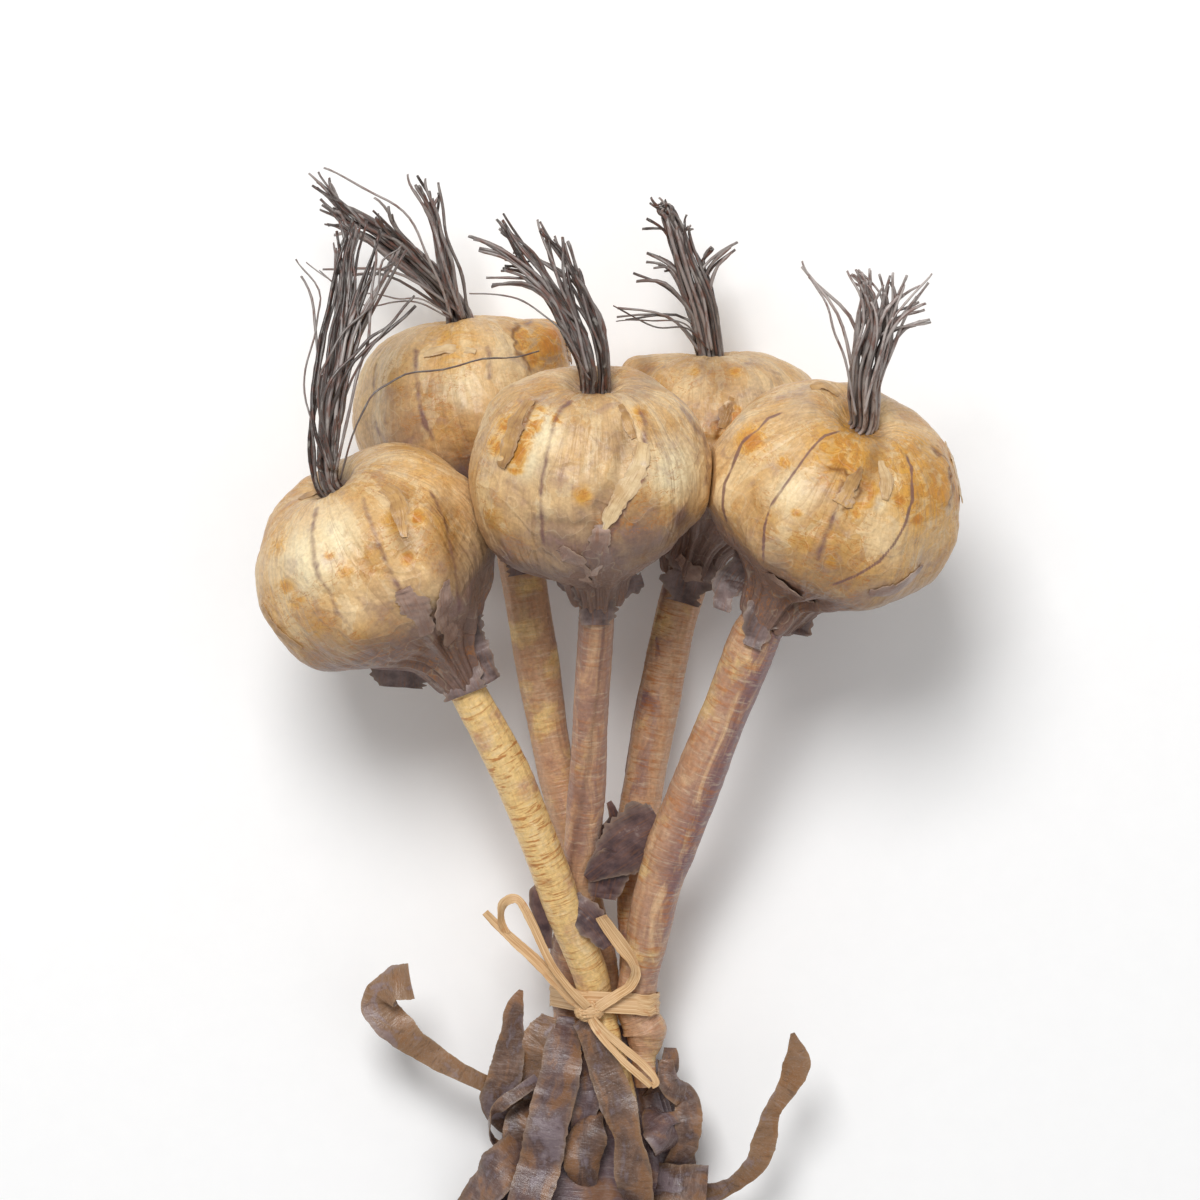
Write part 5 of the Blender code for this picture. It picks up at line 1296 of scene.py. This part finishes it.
def skin_material():
    """Garlic skin, dried on the bulb: layers of paper-thin leaf with lengthwise fibres.

    To the eye it is satin with soft broad highlights, cream to ochre, with mauve veins, a dusky neck
    and orange stains in fine strokes along the fibres. The dusky neck, the mauve patches and the dark
    lines along torn edges are partly painted shade, and the cream patches partly painted highlights;
    the creases and long crease lines hold painted shade, and the crumpled-paper creases painted
    highlights.
    """
    material, tree, place, fibres, veins, edges, tones, shade = start_material(
        "garlic_skin_dried", ("fibres", "Vector"), ("veins", "Fac"), ("edges", "Fac"),
        ("tones", "Color"), ("tones", "Alpha"))
    orange, mauve, cream = [node(tree, "ShaderNodeSeparateColor", {0: tones}, out)
                            for out in (ORANGE, MAUVE_AND_SHADE, CREAM_AND_HIGHLIGHT)]
    clouds, blotch, layers, streaks, strokes, speckle, crumple, crinkle = grow_patterns(tree, (
        (place, (25.0, 25.0, 25.0), 3.0, 0.0),              # gold and cream over a third of a head
        (place, (6.6667, 6.6667, 6.6667), 6.0, 0.5),        # mauve blotches of 7 mm
        (fibres, (10.4167, 10.4167, 5.2083), 5.0, 0.5),     # torn layers of 10 mm by 5 mm
        (fibres, (1.4423, 1.4423, 8.3333), 5.0, 0.0),       # fibres 8 mm long, drawn 1.4 mm wide to show
        (fibres, (5.9524, 5.9524, 0.83333), 5.0, 0.9),      # crosswise strokes of 6 mm by 0.8 mm
        (place, (0.90909, 0.90909, 0.90909), 2.0, 0.0),     # grain, drawn 0.9 mm wide to show
        (fibres, (10.4167, 10.4167, 17.3611), 2.0, 0.5),    # long creases 10 mm apart
        (place, (9.5238, 9.5238, 9.5238), 1.0, 0.6),        # creases of crumpled paper, 10 mm apart
    ))
    crumple = crease_lines(tree, crumple)
    crinkle = crease_lines(tree, crinkle)
    layered = node(tree, "ShaderNodeMapRange", {0: layers, 1: 0.35, 2: 0.60, 3: 0.6, 4: 1.3})
    cream_and_highlight_layered = node(tree, "ShaderNodeMath", {0: cream, 1: layered}, operation="MULTIPLY")
    brushed = node(tree, "ShaderNodeMapRange", {0: strokes, 1: 0.40, 2: 0.56, 3: 0.35, 4: 1.2})
    stain = node(tree, "ShaderNodeMath", {0: orange, 1: brushed}, operation="MULTIPLY")
    golden = add_up(tree, (clouds, 1.0), (orange, 0.3))
    rusty = node(tree, "ShaderNodeMapRange", {0: golden, 1: 0.46, 2: 0.56})
    thin = node(tree, "ShaderNodeMapRange", {0: crease_lines(tree, strokes), 1: 0.020, 2: 0.0, 4: 0.85})
    rust_lines = node(tree, "ShaderNodeMath", {0: thin, 1: rusty}, operation="MULTIPLY")
    patchy_veins = node(tree, "ShaderNodeMath", {0: veins, 1: blotch}, operation="MULTIPLY")
    colour = lay_colours(tree, paint("#DFBB88"), (
        (clouds, 0.40, 0.62, 0.80, "#C28F42"),
        (streaks, 0.48, 0.74, 0.45, "#B78E68"),
        (layers, 0.540, 0.552, 0.22, "#A87F5C"),
        (layers, 0.452, 0.444, 0.35, "#EFD9AE"),
        # cream patches: partly pale skin, partly painted highlights
        (cream_and_highlight_layered, 0.15, 0.75, 0.85, "#F6E5BC"),
        # mauve: partly the skin's own colour, partly painted shade at the neck and in hollows
        (add_up(tree, (mauve, 0.75), (blotch, 0.6)), 0.38, 0.92, 0.96, "#7C6158"),
        (blotch, 0.54, 0.70, 0.40, "#A08078"),
        (stain, 0.05, 0.42, 0.80, "#D69D3A"),
        (stain, 0.42, 0.78, 0.82, "#BD7526"),
        (rust_lines, 0.0, 1.0, 1.0, "#B5702A"),
        # painted shade along the long creases, where the relief sinks
        (crumple, 0.010, 0.0, 0.30, "#9C7048"),
        # painted highlights on the crumpled-paper creases, where the relief rises
        (crinkle, 0.012, 0.0, 0.16, "#F4E6C6"),
        (patchy_veins, 0.10, 0.30, 0.82, "#73514F"),
        # dark line along each torn edge: partly the edge's own brown, partly painted shade at the step
        (edges, 0.0, 1.0, 0.85, "#7E4E24"),
        # painted shade in the creases
        (shade, 0.0, 1.0, 1.0, "#7A5532"),
    ))
    crumpled = node(tree, "ShaderNodeMapRange", {0: crumple, 1: 0.0, 2: 0.10})
    crinkled = node(tree, "ShaderNodeMapRange", {0: crinkle, 1: 0.0, 2: 0.10})
    relief = add_up(tree, (layers, 1.5), (streaks, 1.0), (speckle, 0.25), (strokes, 0.6),
                    (crumpled, 0.8), (crinkled, -0.5))
    finish_material(tree, add_speckle(tree, colour, speckle, 0.88, 1.06), relief, 0.50, 0.6, 0.38, 1.45)
    return material


def torn_material(name, dark, light):
    """Torn skin and peeled sheath: the same thin leaf, loose in the weather.

    To the eye it is satin and blotched, with brown fibres, greyer in patches and paler at its edges.
    """
    material, tree, place, fibres, rim = start_material(name, ("fibres", "Vector"), ("rim", "Fac"))
    clouds, streaks = grow_patterns(tree, (
        (place, (6.25, 6.25, 6.25), 6.0, 0.0),                          # blotches of 6 mm
        (fibres, (6.9444, 0.52083, STRIPS_APART / 8.4), 5.0, 0.0),      # fibres of 7 mm by 0.5 mm
    ))
    colour = lay_colours(tree, paint(dark), (
        (clouds, 0.38, 0.62, 1.0, light),
        (streaks, 0.52, 0.70, 0.60, "#8A5A38"),
        (clouds, 0.62, 0.70, 0.60, "#B9A9A0"),
        (rim, 0.0, 1.0, 0.40, "#B09A84"),
    ))
    finish_material(tree, colour, add_up(tree, (clouds, 1.0), (streaks, 1.0)), 0.5, 0.5, 0.36)
    return material


def stem_material(number):
    """A dried stem: its outer leaf shrank in ridges along it and in fine ticks across.

    To the eye it is satin, mottled gold and mauve, with short rust ticks and a dark line at its lap, and
    pale patches that are partly painted highlights.
    """
    tones = STEM_TONES[number]
    gold, mauve, fades = tones["gold"], tones["mauve"], tones["fades"]
    material, tree, place, fibres, lap = start_material(
        f"dried_stem_{number}", ("fibres", "Vector"), ("lap", "Fac"))
    patches, threads, ticks, clouds, speckle = grow_patterns(tree, (
        (fibres, (9.0909, 4.7619, 4.7619), 6.0, 1.0),       # patches of 9 mm by 5 mm
        (fibres, (12.5, 1.0, 1.0), 5.0, 0.0),               # fibres 12 mm long and 1 mm wide
        (fibres, (0.47619, 5.8824, 5.8824), 5.0, 0.6),      # crosswise ticks of 0.5 mm by 6 mm
        (place, (11.1111, 11.1111, 11.1111), 5.0, 0.0),     # gold over 11 mm
        (place, (1.0, 1.0, 1.0), 2.0, 0.0),                 # grain, drawn 1 mm wide to show
    ))
    along = node(tree, "ShaderNodeSeparateXYZ", {0: fibres}, 0)
    sideways = node(tree, "ShaderNodeSeparateXYZ", {0: fibres}, 1)
    side = node(tree, "ShaderNodeMath", {0: sideways, 1: tones["mauve_side"]}, operation="MULTIPLY")
    on_side = node(tree, "ShaderNodeMapRange", {0: side, 1: -3.0, 2: 3.5, 3: 0.30, 4: 1.3})
    onward = node(tree, "ShaderNodeMapRange",
                  {0: along, 1: fades - MAUVE_FADE, 2: fades + MAUVE_FADE, 3: 1.0, 4: 0.25})
    spots = node(tree, "ShaderNodeMapRange", {0: patches, 1: 0.63 - 0.30 * mauve, 2: 0.81 - 0.30 * mauve,
                                              4: 0.78})
    where = node(tree, "ShaderNodeMath", {0: on_side, 1: onward}, operation="MULTIPLY")
    bloom = node(tree, "ShaderNodeMath", {0: spots, 1: where}, operation="MULTIPLY")
    rust = node(tree, "ShaderNodeMapRange", {0: ticks, 1: 0.530, 2: 0.60, 4: 0.85 * tones["ticks"]})
    golden = node(tree, "ShaderNodeMapRange", {0: clouds, 1: 0.40, 2: 0.56, 3: 0.35, 4: 1.0})
    rust_ticks = node(tree, "ShaderNodeMath", {0: rust, 1: golden}, operation="MULTIPLY")
    colour = lay_colours(tree, paint("#C99C78"), (
        (clouds, 0.72 - 0.45 * gold, 0.86 - 0.45 * gold, 0.95, "#EEC884"),
        # pale patches: partly the stem's own colour, partly painted highlights
        (patches, 0.46, 0.32, 0.08 + 0.45 * gold, "#EDD2A6"),
        (threads, 0.54, 0.70, 0.22, "#8A6244"),
        (bloom, 0.0, 1.0, 1.0, "#866463"),
        (rust_ticks, 0.0, 1.0, 1.0, "#B56B28"),
        (ticks, 0.44, 0.34, 0.30, "#F0DDBC"),
        (lap, 0.0, 1.0, 0.45, "#5E4034"),
    ))
    relief = add_up(tree, (ticks, 1.0), (patches, 1.0), (threads, 0.3))
    finish_material(tree, add_speckle(tree, colour, speckle, 0.86, 1.08), relief, 0.40, 0.6, 0.34)
    return material


def root_material():
    """Dried roots: wiry, shrunk in fine wrinkles.

    To the eye they are a little glossy and grey-brown, and each root has its own shade.
    """
    material, tree, _, fibres, strand = start_material(
        "dried_roots", ("fibres", "Vector"), ("strand", "Fac"))
    # Bands of 3 mm along a root.
    streaks, = grow_patterns(tree, ((fibres, (2.8571, 2.8571, 2.8571), 4.0, 0.0),))
    colour = lay_colours(tree, paint("#3A302C"), (
        (strand, 0.1, 1.2, 1.0, "#B0A5A0"),
        (streaks, 0.50, 0.62, 0.75, "#6B4538"),
        (streaks, 0.44, 0.34, 0.50, "#A8A29B"),
    ))
    finish_material(tree, colour, streaks, 0.4, 0.2, 0.34)
    return material


def leaf_material():
    """Dried leaf: shrivelled as it dried, with a thin waxy bloom left on it.

    To the eye it is brown with a mauve cast, satin, and finely wrinkled across. Its mauve-grey zones are
    painted sheen, its wrinkles have painted highlights on their ridges and painted shade in their
    hollows, and its fine wrinkles painted highlights.
    """
    material, tree, _, fibres, rim, tint = start_material(
        "dried_leaf", ("fibres", "Vector"), ("rim", "Fac"), ("tint", "Fac"))
    wrinkles, fine, zones = grow_patterns(tree, (
        (fibres, (1.1111, 3.7037, STRIPS_APART / 6.3), 6.0, 0.8),       # wrinkles of 1.1 mm by 4 mm
        (fibres, (0.32051, 0.52083, STRIPS_APART / 16.8), 5.0, 0.6),    # fine ones of 0.3 mm by 0.5 mm
        (fibres, (11.1111, 5.5556, STRIPS_APART / 1.4), 3.0, 0.4),      # zones of 11 mm by 6 mm
    ))
    colour = lay_colours(tree, paint("#4A352E"), (
        (zones, 0.40, 0.58, 1.0, "#7C5F50"),
        (tint, 0.40, 0.0, 0.75, "#6A565C"),
        (tint, 0.55, 0.95, 0.75, "#94704F"),
        (zones, 0.53, 0.63, 0.62, "#8D6036"),
        # painted sheen in mauve-grey zones
        (zones, 0.45, 0.37, 0.58, "#8B7C82"),
        # painted highlights on the wrinkle ridges
        (wrinkles, 0.54, 0.66, 0.24, "#A5968F"),
        # painted shade in the wrinkle hollows
        (wrinkles, 0.44, 0.34, 0.42, "#37241F"),
        # painted highlights on the fine wrinkles
        (fine, 0.52, 0.68, 0.22, "#B2A29A"),
        (rim, 0.0, 1.0, 0.30, "#A98F70"),
    ))
    finish_material(tree, colour, add_up(tree, (wrinkles, 1.0), (fine, 0.3)), 0.40, 0.6, 0.27)
    return material


def raffia_material():
    """Raffia: palm leaf split along its fibres and dried.

    To the eye it is pale straw, dull, with fine lengthwise fibres and a few reddish spots.
    """
    material, tree, _, fibres = start_material("raffia_split_leaf", ("fibres", "Vector"))
    streaks, spots = grow_patterns(tree, (
        (fibres, (9.8039, 0.29412, STRIPS_APART / 23.8), 5.0, 0.0),     # fibres of 10 mm by 0.3 mm
        (fibres, (4.5455, 4.5455, STRIPS_APART / 1.54), 4.0, 0.0),      # spots of 5 mm
    ))
    colour = lay_colours(tree, paint("#BE8F5E"), (
        (streaks, 0.38, 0.62, 1.0, "#E4C294"),
        (spots, 0.60, 0.70, 0.70, "#B5703C"),
    ))
    finish_material(tree, colour, streaks, 0.3, 0.4, 0.5)
    return material


def backdrop_material():
    """Paper backdrop: matt and almost white, with a faint grain."""
    material, tree, place = start_material("paper_backdrop")
    # The grain is drawn 7 mm wide, for only a faint cloud of it shows.
    grain, = grow_patterns(tree, ((place, (6.6667, 6.6667, 6.6667), 2.0, 0.0),))
    tint = node(tree, "ShaderNodeMapRange", {0: grain, 3: 0.95, 4: 0.98})
    shader = tree.nodes["Principled BSDF"]
    tree.links.new(tint, shader.inputs["Base Color"])
    shader.inputs["Roughness"].default_value = 0.9
    return material


def dress(pieces, material):
    for piece in pieces:
        piece.data.materials.clear()
        piece.data.materials.append(material)
        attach(piece, "root")
        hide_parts(piece["stands_for"])


def make_studio():
    """A plain pale floor, a soft light from above the heads, and the camera straight above."""
    bpy.ops.object.select_all(action="DESELECT")
    bpy.ops.mesh.primitive_plane_add(size=FLOOR_SIZE)
    floor = bpy.context.object
    floor.name = "floor"
    floor.data.materials.append(backdrop_material())
    camera_data = bpy.data.cameras.new("camera")
    camera_data.lens = LENS
    camera_data.sensor_width = SENSOR
    camera_data.clip_end = CAMERA_SEES
    camera = bpy.data.objects.new("camera", camera_data)
    camera.location = (CAMERA + TIE) * MM
    bpy.context.scene.collection.objects.link(camera)
    bpy.context.scene.camera = camera
    world = bpy.data.worlds.new("studio")
    world.use_nodes = True
    background = world.node_tree.nodes["Background"]
    background.inputs["Color"].default_value = (1.0, 1.0, 1.0, 1.0)
    background.inputs["Strength"].default_value = ROOM_LIGHT
    bpy.context.scene.world = world
    for name, (place, size, energy) in LIGHTS.items():
        light_data = bpy.data.lights.new(name, "AREA")
        light_data.size = size
        light_data.energy = energy
        light = bpy.data.objects.new(name, light_data)
        light.location = place
        away = Vector(place) - Vector(LIT_MIDDLE)
        light.rotation_euler = away.to_track_quat("Z", "Y").to_euler()
        bpy.context.scene.collection.objects.link(light)
    bpy.context.scene.view_settings.view_transform = "Standard"


def make_strips(kind, number, stands_for, finish, strips):
    """The strips of one kind that lie on a head or on its stem."""
    return [
        strip(f"{kind}_{number}_{index}", stands_for, finish, route, widths, facing,
              SEEDS[kind] + number * STRIP_SEEDS + index, **STRIPS[kind])
        for index, (route, widths, facing) in enumerate(strips)
    ]


def make_leaves():
    """The mass of dry leaves and the ribbons that lie over it."""
    ribbons = [
        strip("leaf_" + name.replace(" ", "_"), "dried_leaves", "dry_leaf", route, widths, facing,
              SEEDS["leaves"] + index * LEAF_SEEDS, crinkle=crinkle, roll=roll,
              tint=LEAF_TINTS.get(name), **STRIPS["leaf"])
        for index, (name, (route, widths, facing, crinkle, roll)) in enumerate(RIBBONS.items())
    ]
    return [make_leaf_core(), *ribbons]


def main():
    skin = skin_material()
    collar = torn_material("torn_skin_weathered", "#574541", "#8F7A76")
    papers = {
        "pale": torn_material("papery_flake_pale", "#C4A070", "#DFC498"),
        "tan": torn_material("papery_flake_tan", "#9C7548", "#C79C60"),
        "mauve": torn_material("papery_flake_mauve", "#86695C", "#AC8F80"),
    }
    sheath = torn_material("peeled_sheath_weathered", "#3E2C30", "#6E5450")
    leaf = leaf_material()
    for number in HEADS:
        bulb = f"bulb_{number}"
        head = make_head(number)
        dress([head], skin)
        dress(make_strips("torn_skin", number, bulb, "garlic_skin", NECK_FLAPS[number]), collar)
        resting = [(route, widths, facing) for _, pixels, widths in FLAKES[number]
                   for route, facing in [on_head(head, pixels, FLAKE_LIFT)]]
        flakes = make_strips("skin_flake", number, bulb, "garlic_skin", resting)
        for flake, (tone, _, _) in zip(flakes, FLAKES[number]):
            dress([flake], papers[tone])
        dress([make_stem(number)], stem_material(number))
        peels = STEM_FLAPS.get(number, ())
        dress(make_strips("peeled_sheath", number, f"stem_{number}", "stem", peels), sheath)
    dress([make_tuft(number) for number in HEADS], root_material())
    dress(make_leaves(), leaf)
    dress(make_raffia(), raffia_material())
    make_studio()


main()
